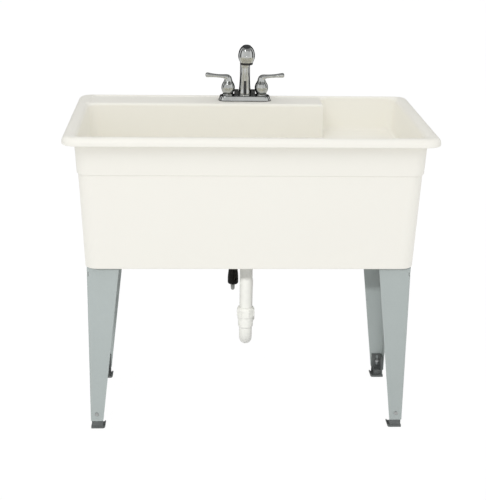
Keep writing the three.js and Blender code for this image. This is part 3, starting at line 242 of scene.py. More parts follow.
def pipePlastic(setup):
    finish = Finish("trap_plastic")
    cloud = finish.noise(14)
    swirl = finish.noise(90, 4, 0.6)
    colour = finish.mix(cloud * 0.7, setup["colour"], setup["shade"])
    return finish.done(
        Base_Color=colour, Roughness=setup["roughness"] + swirl * 0.1,
        Normal=finish.bump(swirl, 0.12, 0.0004),
    )


# the legs' paint is set darker than it is: partly painted shade for their place under the tub, which
# the key light lifts where it reaches
legFinish = {
    "colour": srgb(155, 162, 161), "shade": srgb(140, 147, 145), "metal": 0.25, "roughness": 0.36,
}


def legPaint(setup):
    finish = Finish("leg_paint")
    cloud = finish.noise(7, 4, 0.6)
    flake = finish.noise(260, 3, 0.6)
    peel = finish.noise(900, 2)
    colour = finish.mix(cloud * 0.5 + flake * 0.3, setup["colour"], setup["shade"])
    return finish.done(
        Base_Color=colour, Metallic=setup["metal"], Roughness=setup["roughness"] + flake * 0.16,
        Normal=finish.bump(peel, 0.3, 0.00008),
    )


zincFinish = {"colour": srgb(150, 152, 152), "shade": srgb(188, 190, 188), "roughness": 0.28}


def zincSteel(setup):
    finish = Finish("zinc_steel")
    flakes = {"Vector": finish.place(), "Scale": 420.0}
    spangle = finish.node("ShaderNodeTexVoronoi", None, flakes, "Color")
    cloud = finish.noise(120, 4, 0.6)
    colour = finish.mix(cloud, setup["colour"], setup["shade"])
    tone = finish.node("ShaderNodeSeparateColor", None, {"Color": spangle})
    return finish.done(
        Base_Color=colour, Metallic=1.0, Roughness=setup["roughness"] + tone * 0.12,
    )


chromeFinish = {"colour": srgb(192, 194, 192), "smear": srgb(174, 176, 175), "roughness": 0.05}


def chromePlate(setup):
    finish = Finish("chrome")
    smear = finish.ramp(finish.noise(55, 4, 0.6), 0.45, 0.75)
    ripple = finish.noise(120, 2)
    colour = finish.mix(smear, setup["colour"], setup["smear"])
    return finish.done(
        Base_Color=colour, Metallic=1.0, Roughness=setup["roughness"] + smear * 0.05,
        Normal=finish.bump(ripple, 0.08, 0.0002),
    )


brassFinish = {"colour": srgb(188, 158, 92), "shade": srgb(150, 118, 62), "roughness": 0.3}


def castBrass(setup):
    finish = Finish("brass")
    cloud = finish.noise(70, 4, 0.6)
    grain = finish.noise(800)
    colour = finish.mix(cloud, setup["colour"], setup["shade"])
    return finish.done(
        Base_Color=colour, Metallic=1.0, Roughness=setup["roughness"] + cloud * 0.16,
        Normal=finish.bump(grain, 0.3, 0.00008),
    )


braidFinish = {
    "gap": srgb(88, 90, 88),
    "strand": srgb(166, 168, 164),
    "tint": srgb(126, 128, 124),
    "metal": 0.35,
    "roughness": 0.38,
    "strands": 8,  # each way round
    "hoseTurns": 150,  # over the free hose's length
    "turnsPerMetre": 140,  # of a straight hose
}


def braid(finish, along, around):
    # two sets of strands that cross; along counts their crossings
    setup = braidFinish
    leans = (setup["strands"], -setup["strands"])
    strands = [(along + around * lean).math("SINE") * 0.5 + 0.5 for lean in leans]
    weave = strands[0].math("MAXIMUM", strands[1])
    tone = finish.noise(240)
    colour = finish.mix(weave, setup["gap"], setup["strand"])
    tinted = finish.mix(tone * 0.35, colour, setup["tint"])
    return finish.done(
        Base_Color=tinted, Metallic=setup["metal"], Roughness=setup["roughness"] + tone * 0.14,
        Normal=finish.bump(weave, 0.7, 0.0004),
    )


def hoseBraid():
    # on the hose's own map
    finish = Finish("hose_braid")
    spot = finish.node("ShaderNodeTexCoord", output="UV")
    spread = finish.node("ShaderNodeSeparateXYZ", None, {"Vector": spot})
    around = Wire(finish, spread.socket.node.outputs["Y"])
    return braid(finish, spread * (fullTurn * braidFinish["hoseTurns"]), around * fullTurn)


def straightBraid(name, at, axis):
    # measured round an axis that lies in the plane of X = 0
    finish = Finish(name)
    spot = finish.node("ShaderNodeVectorMath", {"operation": "SUBTRACT"}, {0: finish.place(), 1: at})
    along, across, aside = (
        finish.node("ShaderNodeVectorMath", {"operation": "DOT_PRODUCT"}, {0: spot, 1: tuple(way)}, 1)
        for way in (axis, (1, 0, 0), Vector(axis).cross((1, 0, 0)))
    )
    turns = fullTurn * braidFinish["turnsPerMetre"]
    return braid(finish, along * turns, across.math("ARCTAN2", aside))


# grain and cloud are scales; bump and depth (m) are those of the grain
grainedFinishes = {
    "foot_plastic": {
        "colour": srgb(86, 90, 90), "shade": srgb(110, 114, 113), "cloud": 30, "roughness": 0.5,
        "change": 0.12, "grain": 600, "bump": 0.4, "depth": 0.0001, "shine": 0.5,
    },
    "grey_plastic": {
        "colour": srgb(40, 42, 43), "shade": srgb(52, 54, 55), "cloud": 40, "roughness": 0.34,
        "change": 0.12, "grain": 500, "bump": 0.3, "depth": 0.0001, "shine": 0.5,
    },
    "black_rubber": {
        "colour": srgb(24, 23, 22), "shade": srgb(36, 34, 32), "cloud": 26, "roughness": 0.48,
        "change": 0.1, "grain": 700, "bump": 0.4, "depth": 0.00012, "shine": 0.5,
    },
    "weight_rubber": {
        "colour": srgb(14, 13, 11), "shade": srgb(20, 19, 16), "cloud": 26, "roughness": 0.55,
        "change": 0.1, "grain": 700, "bump": 0.4, "depth": 0.00012, "shine": 0.2,
    },
}


def grained(name, setup):
    # moulded plastic or rubber
    finish = Finish(name)
    grain = finish.noise(setup["grain"])
    colour = finish.mix(finish.noise(setup["cloud"]), setup["colour"], setup["shade"])
    return finish.done(
        Base_Color=colour, Roughness=setup["roughness"] + grain * setup["change"],
        Normal=finish.bump(grain, setup["bump"], setup["depth"]),
        Specular_IOR_Level=setup["shine"],
    )


# where the braid of each straight hose is measured from, and the way it runs
riserAxis = ((0, 0.257, 0.74), (0, 0, 1))
pullAxis = ((0, 0.214, 1.0193), (0, -math.cos(pullTilt), math.sin(pullTilt)))
finishes = {name: grained(name, setup) for name, setup in grainedFinishes.items()}
finishes.update({
    "tub_plastic": tubPlastic(tubFinish),
    "trap_plastic": pipePlastic(pipeFinish),
    "leg_paint": legPaint(legFinish),
    "zinc_steel": zincSteel(zincFinish),
    "chrome": chromePlate(chromeFinish),
    "brass": castBrass(brassFinish),
    "hose_braid": hoseBraid(),
    "riser_braid": straightBraid("riser_braid", *riserAxis),
    "pull_braid": straightBraid("pull_braid", *pullAxis),
})


def place(piece, body, finish, *nodes):
    # the piece gets its material, the body that it moves with and the nodes that it stands for
    piece.data.materials.clear()
    piece.data.materials.append(finishes[finish])
    if nodes:
        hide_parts(*nodes)
    if body:
        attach(piece, body)
    return piece


print("hose")
hoseSetup = {
    "radius": 6,
    "steps": 12,  # of the curve between two points of the route
    "round": 6,
}
# down from the spout, round a loop and up to the outlet tube
hoseRoute = [
    (0, 240, 799.7), (0, 240, 780), (-1, 240, 756), (-7, 236, 716), (-17, 229, 672),
    (-26, 223.5, 630), (-29, 222, 596), (-29, 222, 566), (-29, 222, 480), (-29, 222, 380),
    (-29, 222, 310), (-29, 222, 283), (-29, 225.3, 269.6), (-29, 234.5, 260.4), (-29, 247, 257),
    (-29, 259.5, 260.4), (-29, 268.7, 269.6), (-29, 272, 283), (-29, 272, 320), (-29, 272, 430),
    (-29, 272, 540), (-25, 270.5, 600), (-15, 265, 652), (-5, 259.5, 694), (0, 257, 724),
    (0, 257, 739.7),
]


def smoothRoute(points, steps):
    # a centripetal curve through every point
    points = [Vector(point) for point in points]
    ends = [2 * points[0] - points[1], *points, 2 * points[-1] - points[-2]]
    found = []
    for before, start, end, after in zip(ends, ends[1:], ends[2:], ends[3:]):
        pairs = ((before, start), (start, end), (end, after))
        first, middle, last = ((b - a).length ** 0.5 for a, b in pairs)
        leave = (
            (start - before) / first - (end - before) / (first + middle) + (end - start) / middle
        ) * middle
        arrive = (
            (end - start) / middle - (after - start) / (middle + last) + (after - end) / last
        ) * middle
        for step in range(steps):
            t = step / steps
            found.append(
                (2 * t ** 3 - 3 * t ** 2 + 1) * start + (t ** 3 - 2 * t ** 2 + t) * leave
                + (3 * t ** 2 - 2 * t ** 3) * end + (t ** 3 - t ** 2) * arrive
            )
    return [*found, points[-1]]


def hoseCurve(name, route, radius, rings):
    # a round curve that follows the route, drawn as one open spline
    selectNone()
    bpy.ops.curve.primitive_bezier_curve_add()
    hose = bpy.context.object
    hose.name = name
    hose.data.splines.clear()
    line = hose.data.splines.new("POLY")
    line.points.add(len(route) - 1)
    for point, spot in zip(line.points, route):
        point.co = (*(spot * mm), 1)
    hose.data.bevel_depth = radius * mm
    hose.data.bevel_resolution = rings
    hose.data.use_fill_caps = True
    hose.data.resolution_u = 1
    line.use_smooth = True
    return hose


hosePath = smoothRoute(hoseRoute, hoseSetup["steps"])
hoseLength = sum((b - a).length for a, b in zip(hosePath, hosePath[1:])) * mm
print("hose length", round(hoseLength, 4))
hose = hoseCurve("supply_hose", hosePath, hoseSetup["radius"], hoseSetup["round"])
place(hose, "root", "hose_braid", "hose_loop")

print("stage and light")
stageSetup = {
    "floorSize": 60,
    "floorColour": (0.93, 0.93, 0.93, 1),
    "floorBright": 1.03,
    "floorGlow": 0.93,  # share that the camera sees glow; the rest keeps the shadow
    "sky": 0.82,
    # place and aim in metres, power in watts
    "low": {"place": (-0.5, -3.0, 1.2), "aim": (0, 0, 0.7), "size": 1.3, "power": 1.5},
    "high": {"place": (-0.7, -2.3, 3.2), "aim": (0, 0, 0.7), "size": 1.6, "power": 17},
    "key": {"place": (-0.9, -3.2, 2.0), "aim": (0, 0, 0.3), "size": 0.15, "power": 98},
}
# seen in reflections only: place, aim, width, height, brightness
cards = {
    "card_behind": ((0, 2.4, 1.9), (0, 0, 1.9), 7, 4.4, 0.02),
    "card_before": ((0, -6, 2.4), (0, 0, 2.4), 14, 7, 0.86),
    "card_above": ((0, -1.5, 6), (0, -1.5, 0), 14, 9, 0.38),
    "card_left": ((-3.2, 0.3, 1.6), (0, 0.3, 1.6), 1.3, 3.6, 0.05),
    "card_right": ((3.2, 0.3, 1.6), (0, 0.3, 1.6), 1.3, 3.6, 0.05),
    "card_window": ((-1.3, -2.2, 3.4), (0, 0.2, 1.0), 0.7, 0.7, 5.0),
    "card_camera": ((-0.1, -3.3, 0.75), (0, 0.2, 1.0), 0.22, 0.2, 6.0),
}


def addFloor(setup):
    selectNone()
    bpy.ops.mesh.primitive_plane_add(size=setup["floorSize"])
    floor = bpy.context.object
    floor.name = "floor"
    finish = Finish("floor_paint")
    seen = finish.node("ShaderNodeLightPath", output="Is Camera Ray")
    mirrored = finish.node("ShaderNodeLightPath", output="Is Glossy Ray")
    diffuse = finish.node("ShaderNodeBsdfDiffuse", None, {"Color": setup["floorColour"]})
    glow = finish.glow(setup["floorBright"])
    share = seen.math("MAXIMUM", mirrored) * setup["floorGlow"]
    finish.surface(finish.node("ShaderNodeMixShader", None, {0: share, 1: diffuse, 2: glow}))
    floor.data.materials.append(finish.material)


def addSky(setup):
    world = bpy.data.worlds.new("studio")
    bpy.context.scene.world = world
    world.use_nodes = True
    nodes, links = world.node_tree.nodes, world.node_tree.links
    rays = nodes.new("ShaderNodeLightPath")
    seen = nodes.new("ShaderNodeMath")
    seen.operation = "MAXIMUM"
    links.new(rays.outputs["Is Camera Ray"], seen.inputs[0])
    links.new(rays.outputs["Is Glossy Ray"], seen.inputs[1])
    strength = nodes.new("ShaderNodeMapRange")
    strength.inputs["To Min"].default_value = setup["sky"]
    strength.inputs["To Max"].default_value = 1.0
    links.new(seen.outputs[0], strength.inputs["Value"])
    back = nodes["Background"]
    back.inputs["Color"].default_value = (1, 1, 1, 1)
    links.new(strength.outputs[0], back.inputs["Strength"])


def facing(item, spot, aim):
    item.location = spot
    item.rotation_euler = (Vector(aim) - Vector(spot)).to_track_quat("-Z", "Y").to_euler()


def addSoftbox(name, setup):
    selectNone()
    bpy.ops.object.light_add(type="AREA")
    lamp = bpy.context.object
    lamp.name = name
    lamp.data.energy = setup["power"]
    lamp.data.size = setup["size"]
    lamp.visible_glossy = False
    facing(lamp, setup["place"], setup["aim"])
    return lamp


def shineOn(lamp, pieces):
    # the lamp lights these pieces alone
    lit = bpy.data.collections.new(lamp.name + "_pieces")
    for piece in pieces:
        lit.objects.link(piece)
    lamp.light_linking.receiver_collection = lit


def addCard(name, spot, aim, width, height, brightness):
    selectNone()
    bpy.ops.mesh.primitive_plane_add(size=1)
    card = bpy.context.object
    card.name = name
    card.scale = (width, height, 1)
    facing(card, spot, aim)
    finish = Finish(name)
    finish.surface(finish.glow(brightness))
    card.data.materials.append(finish.material)
    card.visible_camera = card.visible_diffuse = card.visible_shadow = False
    card.visible_transmission = card.visible_volume_scatter = False


addFloor(stageSetup)
addSky(stageSetup)
addSoftbox("low_light", stageSetup["low"])
addSoftbox("high_light", stageSetup["high"])
keyLight = addSoftbox("key_light", stageSetup["key"])
for name, values in cards.items():
    addCard(name, *values)
bpy.context.scene.view_settings.view_transform = "Standard"


def modifier(piece, kind, **settings):
    selectOnly(piece)
    made = piece.modifiers.new(kind.lower(), kind)
    for key, value in settings.items():
        setattr(made, key, value)
    bpy.ops.object.modifier_apply(modifier=made.name)


def shade(piece, angle=35):
    selectOnly(piece)
    bpy.ops.object.shade_smooth_by_angle(angle=math.radians(angle))
    modifier(piece, "WEIGHTED_NORMAL", keep_sharp=True)


def bevelled(piece, width, segments=2, angle=40):
    modifier(
        piece, "BEVEL", width=width * mm, segments=segments, limit_method="ANGLE",
        angle_limit=math.radians(angle), harden_normals=False,
    )


cleaning = {
    "merge": 0.002,  # corners nearer than this are one
    "flat": 0.3,  # degrees between faces that become one
}


def copyOf(node, name):
    # the node's shape as a piece of its own, with its loose triangles merged
    source = frame["nodes"][node]
    selectOnly(source)
    bpy.ops.object.duplicate()
    piece = bpy.context.object
    piece.name = name
    piece.data.name = name
    piece.parent = None
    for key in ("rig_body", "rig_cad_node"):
        if key in piece:
            del piece[key]
    selectOnly(piece)
    bpy.ops.mesh.customdata_custom_splitnormals_clear()
    edit(piece)
    bpy.ops.mesh.remove_doubles(threshold=cleaning["merge"] * mm)
    bpy.ops.mesh.dissolve_limited(angle_limit=math.radians(cleaning["flat"]))
    bpy.ops.object.mode_set(mode="OBJECT")
    return piece


def dressed(node, name, body, finish, bevel=0, angle=35):
    # the node's own shape as a shown piece, with its edges rounded
    piece = copyOf(node, name)
    if bevel:
        bevelled(piece, bevel)
    shade(piece, angle)
    return place(piece, body, finish, node)


def startRing(name, radius, at, sides):
    selectNone()
    bpy.ops.mesh.primitive_circle_add(vertices=sides, radius=radius * mm, location=Vector(at) * mm)
    piece = bpy.context.object
    piece.name = name
    piece.data.name = name
    edit(settle(piece))
    return piece


def closeRing(piece, angle, bore=False):
    # both ends are capped, or joined to each other round a bore
    bpy.ops.mesh.select_all(action="DESELECT")
    bpy.ops.mesh.select_non_manifold()
    if bore:
        bpy.ops.mesh.bridge_edge_loops()
    else:
        bpy.ops.mesh.fill_holes(sides=0)
    bpy.ops.mesh.select_all(action="SELECT")
    bpy.ops.mesh.normals_make_consistent(inside=False)
    bpy.ops.object.mode_set(mode="OBJECT")
    if angle:
        shade(piece, angle)
    return piece


def turned(name, profile, at=(0, 0), sides=56, bore=False, angle=32):
    # a ring drawn up through (radius, height) pairs about an upright axis
    radius, height = profile[0]
    piece = startRing(name, radius, (*at, height), sides)
    for nextRadius, nextHeight in profile[1:]:
        rise = {"value": (0, 0, (nextHeight - height) * mm)}
        bpy.ops.mesh.extrude_region_move(TRANSFORM_OT_translate=rise)
        share = nextRadius / radius
        if abs(share - 1) > 1e-6:
            middle = (at[0] * mm, at[1] * mm, nextHeight * mm)
            bpy.ops.transform.resize(value=(share, share, 1), center_override=middle)
        radius, height = nextRadius, nextHeight
    return closeRing(piece, angle, bore)


def disc(reach, height, lean, radius):
    # a round station for a swept piece
    return (reach, height, lean, radius, radius)


def swept(name, stations, axis, at, sides, angle):
    # a ring carried through (reach, height, lean, half width, half depth); it leans about X or Y
    def spot(reach, height):
        across = (at[0], at[1] + reach) if axis == "X" else (at[0] + reach, at[1])
        return Vector((*across, height)) * mm

    def scaled(across, deep, middle):
        value = (across, deep, 1) if axis == "X" else (deep, across, 1)
        bpy.ops.transform.resize(value=value, center_override=middle)

    def leaned(degrees, middle):
        if degrees:
            # in the background the operator turns the other way
            bpy.ops.transform.rotate(
                value=math.radians(-degrees), orient_axis=axis, center_override=middle,
            )

    reach, height, lean, wide, deep = stations[0]
    piece = startRing(name, 1, spot(reach, height) / mm, sides)
    scaled(wide, deep, spot(reach, height))
    leaned(lean, spot(reach, height))
    for station in stations[1:]:
        middle = spot(station[0], station[1])
        bpy.ops.mesh.extrude_region_move(TRANSFORM_OT_translate={"value": middle - spot(reach, height)})
        if (station[3], station[4]) != (wide, deep):
            leaned(-lean, middle)
            scaled(station[3] / wide, station[4] / deep, middle)
            leaned(station[2], middle)
        else:
            leaned(station[2] - lean, middle)
        reach, height, lean, wide, deep = station
    return closeRing(piece, angle)


def joined(piece, *others):
    selectOnly(piece)
    for other in others:
        other.select_set(True)
    bpy.ops.object.join()
    return piece


def united(piece, operation, *tools):
    # joins or cuts with the tools, which are used up
    for tool in tools:
        modifier(
            piece, "BOOLEAN", operation=operation, object=tool, solver="EXACT",
            material_mode="TRANSFER",
        )
        selectOnly(tool)
        bpy.ops.object.delete()
    return piece


def block(size, at, turn=0):
    selectNone()
    bpy.ops.mesh.primitive_cube_add(size=1)
    piece = bpy.context.object
    piece.scale = Vector(size) * mm
    piece.rotation_euler.z = math.radians(turn)
    piece.location = Vector(at) * mm
    return settle(piece)


def lifted(outline, foot):
    # (radius, height) pairs that were measured from a piece's foot
    return [(radius, foot + height) for radius, height in outline]


def threads(radius, low, high, pitch=1.5, depth=0.8):
    # the profile of a screw thread between two heights, with narrow flat crests
    count = int((high - low) / pitch)
    root = radius - depth
    profile = []
    for i in range(count):
        foot = low + i * pitch
        profile += [(root, foot), (radius, foot + pitch * 0.45), (radius, foot + pitch * 0.6)]
    return [*profile, (root, low + count * pitch)]


print("tub")
dressed("tub", "tub_shell", "root", "tub_plastic", angle=32)

print("legs")
legBevels = {"leg": 0.35, "foot": 0.7, "fastener": 0.25}
for corner in ("front_left", "front_right", "back_left", "back_right"):
    leg, foot = f"leg_{corner}", f"foot_{corner}"
    dressed(leg, f"leg_sheet_{corner}", "root", "leg_paint", legBevels["leg"], 30)
    dressed(foot, f"foot_boot_{corner}", foot, "foot_plastic", legBevels["foot"], 30)
    for kind in ("foot_bolt", "foot_nut", "leg_screw"):
        name = f"{kind}_head_{corner}"
        dressed(f"{kind}_{corner}", name, "root", "zinc_steel", legBevels["fastener"])

print("drain")
drain = {
    "at": (0, -46),
    "top": 533,
    "bottom": 481,
    "flange": 42,
    "bore": 21,
    "outside": 26,
    "step": 24,  # the lower thread's radius
    "stepHeight": 22,
    "bar": 4,
    "barLength": 44,
    "barDepth": 26,
    "stopperFoot": 517,
    # radius, height over the stopper's foot
    "stopper": [
        (0.4, 0), (20.2, 0), (21.3, 1), (22.4, 9), (23.2, 15.6), (24.2, 16.2), (29.4, 16.3),
        (30, 16.8), (29.8, 17.5), (27, 18.8), (20, 19.3), (9, 19.6), (5.4, 20.4), (4.2, 22),
        (4, 26), (4.6, 28), (7.6, 29.4), (8.8, 30.6), (9, 31.6), (8.6, 32.7), (7, 33.2), (3, 33.3),
        (0.4, 33.3),
    ],
}


def strainer(setup):
    top, bottom = setup["top"], setup["bottom"]
    bore, step, outside = setup["bore"], setup["step"], setup["outside"]
    flange, shoulder = setup["flange"], bottom + setup["stepHeight"]
    body = turned("strainer_cup", [
        (bore, bottom), (step - 0.8, bottom), *threads(step, bottom + 0.8, shoulder - 1.5),
        (step, shoulder), (outside, shoulder + 2), *threads(outside, shoulder + 3, top - 10),
        (outside, top - 3.5), (outside, top - 2.7), (flange - 0.4, top - 2.7),
        (flange, top - 2.2), (flange, top - 1.2), (flange - 0.6, top - 0.6), (flange - 3, top),
        (27.4, top), (25.6, top - 0.3), (24.1, top - 1.6), (22, top - 17), (bore, top - 19),
    ], setup["at"], 64, bore=True)
    for turn in (0, 90):
        size = (setup["bar"], setup["barLength"], setup["bar"])
        bar = block(size, (*setup["at"], top - setup["barDepth"]), turn)
        bevelled(bar, 0.8, 3)
        body = joined(body, bar)
    shade(body, 32)
    return place(body, "root", "tub_plastic", "strainer_body")


def stopper(setup):
    profile = lifted(setup["stopper"], setup["stopperFoot"])
    plug = turned("stopper_plug", profile, setup["at"], 64)
    place(plug, "stopper", "black_rubber", "drain_stopper")


strainer(drain)
dressed("strainer_gasket", "strainer_gasket_ring", "root", "black_rubber", 0.4)
dressed("tailpiece_washer", "tailpiece_washer_ring", "root", "grey_plastic", 0.4)
dressed("strainer_lock_nut", "lock_nut_ring", "root", "tub_plastic", 0.6)
stopper(drain)

print("trap")
trapSetup = {
    "tube": 19.05,
    "wall": 1.6,
    "slack": 0.3,  # round the tube, in nuts and sockets
    "hub": 22.6,
    "nut": 25.5,
    "nutThread": 22.9,
    "nutHeight": 31,
    "nutOverHub": 9.1,
    "inletTop": 305,
    "inletSocket": 50,
    "inletInserted": 22,
    "outletTop": 257,
    "outletSocket": 20,
    "outletInserted": 12,
    "bend": 48,
    "bendHeight": 238.05,
    "armBend": 34,
    "armRise": 10,
    "armLength": 112,
    "swing": -3.6,
    "lugs": 8,
    "lugHalf": 4.5,  # degrees
    "lugProud": 2,
    "topNut": 29,
    "topNutThread": 24.3,
    "topNutEnds": (469, 494),
    # the tailpiece's flared end: how far it stands out of the tube, height
    "flare": [(0, 474), (0.6, 474.3), (4.15, 474.4), (4.35, 474.8), (4.35, 476.6), (3.95, 476.9)],
}


def slipNut(name, setup, radius, thread, low, high, at, lipAtTop=True):
    # a ribbed nut round the tube; its ribs are pulled out of the barrel
    tube, lugs = setup["tube"] + setup["slack"], setup["lugs"]
    height = high - low
    outside = [
        (radius - 1.5, 0), (radius - 0.4, 0.5), (radius, 1.6), (radius, 4.5), (radius, 5.5),
        (radius, height - 9), (radius, height - 8), (radius - 0.6, height - 5),
        (radius - 2.4, height - 1.6), (radius - 4, height - 0.4), (radius - 5, height),
    ]
    profile = [(thread, 0), *outside, (tube, height), (tube, height - 5), (thread, height - 5)]
    if lipAtTop:
        profile = lifted(profile, low)
    else:
        profile = [(radius, high - height) for radius, height in profile]
    nut = turned(name, profile, at, 96, bore=True, angle=0)
    edit(nut, "DESELECT")
    bpy.ops.object.mode_set(mode="OBJECT")
    ribLow, ribHigh = (low + 5, high - 7.5) if lipAtTop else (low + 7.5, high - 5)
    middle = Vector((*at, 0)) * mm
    for vertex in nut.data.vertices:
        spot = (vertex.co - middle) / mm
        angle = math.atan2(spot.y, spot.x) * lugs / fullTurn
        near = abs(angle - 0.5 - round(angle - 0.5)) < lugs * setup["lugHalf"] / 360
        vertex.select = near and ribLow < spot.z < ribHigh and spot.xy.length > radius - 0.2
    bpy.ops.object.mode_set(mode="EDIT")
    share = (radius + setup["lugProud"]) / radius
    bpy.ops.transform.resize(value=(share, share, 1), center_override=middle)
    bpy.ops.object.mode_set(mode="OBJECT")
    bevelled(nut, 0.35, 2, 30)
    shade(nut, 32)
    return nut


def aboutAxis(piece, degrees, at):
    # turns a piece about an upright axis
    selectOnly(piece)
    middle = Matrix.Translation(Vector((*at, 0)) * mm)
    piece.matrix_world = middle @ Matrix.Rotation(math.radians(degrees), 4, "Z") @ middle.inverted()
    return settle(piece)


def arc(centre, radius, start, end, steps, lean):
    # stations round a bend: (reach, height, lean)
    found = []
    for i in range(steps + 1):
        angle = math.radians(start + (end - start) * i / steps)
        reach = centre[0] + radius * math.cos(angle)
        found.append((reach, centre[1] + radius * math.sin(angle), math.degrees(angle) + lean))
    return found


def buildTailpiece(setup, at, low):
    bore, tube = setup["tube"] - setup["wall"], setup["tube"]
    foot = [(bore, low), (tube - 0.3, low), (tube, low + 0.4)]
    flare = [(tube + proud, height) for proud, height in setup["flare"]]
    profile = [*foot, *flare, (bore, flare[-1][1])]
    tail = turned("tail_tube", profile, at, 56, bore=True)
    place(tail, "root", "trap_plastic", "tailpiece")
    nut = slipNut(
        "top_slip_nut", setup, setup["topNut"], setup["topNutThread"], *setup["topNutEnds"], at, False,
    )
    place(nut, "root", "trap_plastic", "tailpiece_nut")


def buildTrap(setup):
    at, swing, tube, hub = drain["at"], setup["swing"], setup["tube"], setup["hub"]
    bore, socket = tube - setup["wall"], tube + setup["slack"]
    far = 2 * setup["bend"]
    hubTop = setup["inletTop"] - setup["nutOverHub"]
    outletHubTop = setup["outletTop"] - setup["nutOverHub"]
    hubLow, outletHubLow = hubTop - setup["inletSocket"], outletHubTop - setup["outletSocket"]
    tailLow = hubTop - setup["inletInserted"]
    buildTailpiece(setup, at, tailLow)

    # the bend's rings run down the inlet, round the bottom and up the outlet
    bend = arc((setup["bend"], setup["bendHeight"]), setup["bend"], 180, 360, 24, 180)
    stations = [
        disc(0, tailLow - 0.3, 0, socket), disc(0, hubTop, 0, socket),
        disc(0, hubTop, 0, hub - 0.6), disc(0, hubTop - 0.6, 0, hub), disc(0, hubLow, 0, hub),
        disc(0, hubLow - 2, 0, hub - 0.5), disc(0, hubLow - 6, 0, tube),
    ]
    stations += [disc(reach, height, lean - 360, tube) for reach, height, lean in bend]
    stations += [
        disc(far, outletHubLow - 0.6, 180, hub - 0.6), disc(far, outletHubLow, 180, hub),
        disc(far, outletHubTop - 0.6, 180, hub), disc(far, outletHubTop, 180, hub - 0.6),
        disc(far, outletHubTop, 180, socket),
        disc(far, outletHubTop - setup["outletInserted"] - 0.3, 180, socket),
    ]
    elbow = swept("trap_elbow", stations, "X", at, 48, 32)
    place(aboutAxis(elbow, swing, at), "root", "trap_plastic", "trap_bend")

    # the arm goes up out of the bend and back to the wall
    turn = setup["armBend"]
    foot = setup["outletTop"] + setup["armRise"]
    end, level = far + turn + setup["armLength"], foot + turn
    stations = [disc(far, outletHubTop - setup["outletInserted"], 0, tube)]
    stations += [
        disc(reach, height, lean - 360, tube)
        for reach, height, lean in arc((far + turn, foot), turn, 180, 90, 14, 180)
    ]
    stations += [
        disc(end - 0.5, level, -90, tube), disc(end, level, -90, tube - 0.4),
        disc(end, level, -90, bore), disc(far + turn + 2, level, -90, bore),
    ]
    arm = swept("trap_arm_tube", stations, "X", at, 48, 32)
    place(aboutAxis(arm, swing, at), "root", "trap_plastic", "trap_arm")

    for side, spot in (("inlet", at), ("outlet", (at[0], at[1] + far))):
        top = setup[f"{side}Top"]
        low = top - setup["nutHeight"]
        name = f"{side}_slip_nut"
        nut = slipNut(name, setup, setup["nut"], setup["nutThread"], low, top, spot)
        place(aboutAxis(nut, swing, at), "root", "trap_plastic", f"trap_{side}_nut")
    for side in ("inlet", "outlet"):
        dressed(f"trap_{side}_washer", f"{side}_washer_ring", "root", "grey_plastic", 0.3)


buildTrap(trapSetup)
# the key light is for the legs and the trap alone; the tub shades their tops
keyed = (finishes["leg_paint"], finishes["trap_plastic"])
painted = [thing for thing in bpy.data.objects if thing.type == "MESH" and thing.data.materials]
shineOn(keyLight, [thing for thing in painted if thing.data.materials[0] in keyed])

print("faucet")
faucet = {
    "y": 240,
    "handleX": 50.8,
    "plateTop": 888.3,
    "foot": 892.9,  # of the bells and the spout
    "blocks": 888.5,  # what the base has above this height gets the dark grey plastic: painted shade between the spout and the handles
}


def buildBase(setup):
    base = copyOf("faucet_base", "faucet_plate")
    bevelled(base, 0.5, 3, 35)
    shade(base, 30)
    place(base, "root", "chrome", "faucet_base")
    base.data.materials.append(finishes["grey_plastic"])
    for face in base.data.polygons:
        # the blocks between the spout and the handles get the dark grey plastic: painted shade
        if face.center.z > setup["blocks"] * mm:
            face.material_index = 1


buildBase(faucet)
dressed("faucet_gasket", "faucet_plate_gasket", "root", "black_rubber")

handleSetup = {
    "stemBore": (4.3, 35.7),  # radius, depth
    "cartridgeBore": (11.6, 17.7),
    # radius, height above the bell's foot
    "bell": [
        (13.6, 0), (14.6, 0.4), (16, 2.2), (17.4, 4.8), (18.7, 8), (19.7, 11.5), (20.3, 14.8),
        (20.5, 18), (20.3, 21.5), (19.6, 25), (18.4, 28.5), (16.7, 32), (14.8, 35), (13.2, 38),
        (12.1, 41), (11.5, 43.2),
    ],
    # reach, height, lean, half across, half in the lever's plane
    "lever": [
        (0.3, 45, 10, 10.9, 11.2), (1.6, 47.8, 24, 10.7, 10.8), (4.4, 50.4, 46, 10.2, 9.3),
        (9, 51.9, 66, 9.3, 7.2), (15, 52.5, 79, 8.2, 5.9), (24, 53.1, 84, 7.1, 5.3),
        (34, 53.8, 85, 6.6, 5.2), (46, 54.7, 85, 6.9, 5.6), (55, 55.5, 86, 7.6, 6.4),
        (61.5, 56, 88, 8.2, 7.2), (65, 56.2, 90, 8.2, 7.2), (67.6, 56.3, 90, 7, 6.2),
        (68.8, 56.3, 90, 5, 4.4), (69.2, 56.3, 90, 2.4, 2.1),
    ],
}


def buildHandle(setup, side, mirrored):
    # the bores over the stem and the cartridge first, then the bell, its neck and the lever
    bell = faucet["foot"]
    stem, stemTop = setup["stemBore"]
    cartridge, cartridgeTop = setup["cartridgeBore"]
    stations = [
        disc(0, bell + stemTop, 0, stem), disc(0, bell + cartridgeTop, 0, stem),
        disc(0, bell + cartridgeTop, 0, cartridge), disc(0, bell, 0, cartridge),
    ]
    stations += [disc(0, height, 0, radius) for radius, height in lifted(setup["bell"], bell)]
    stations += [
        (reach, bell + height, lean, wide, deep)
        for reach, height, lean, wide, deep in setup["lever"]
    ]
    piece = swept(f"{side}_lever", stations, "Y", (faucet["handleX"], faucet["y"]), 48, 32)
    if mirrored:
        selectOnly(piece)
        piece.scale.x = -1
        edit(settle(piece))
        bpy.ops.mesh.normals_make_consistent(inside=False)
        bpy.ops.object.mode_set(mode="OBJECT")
        shade(piece, 32)
    place(piece, f"{side}_handle", "chrome", f"{side}_handle")


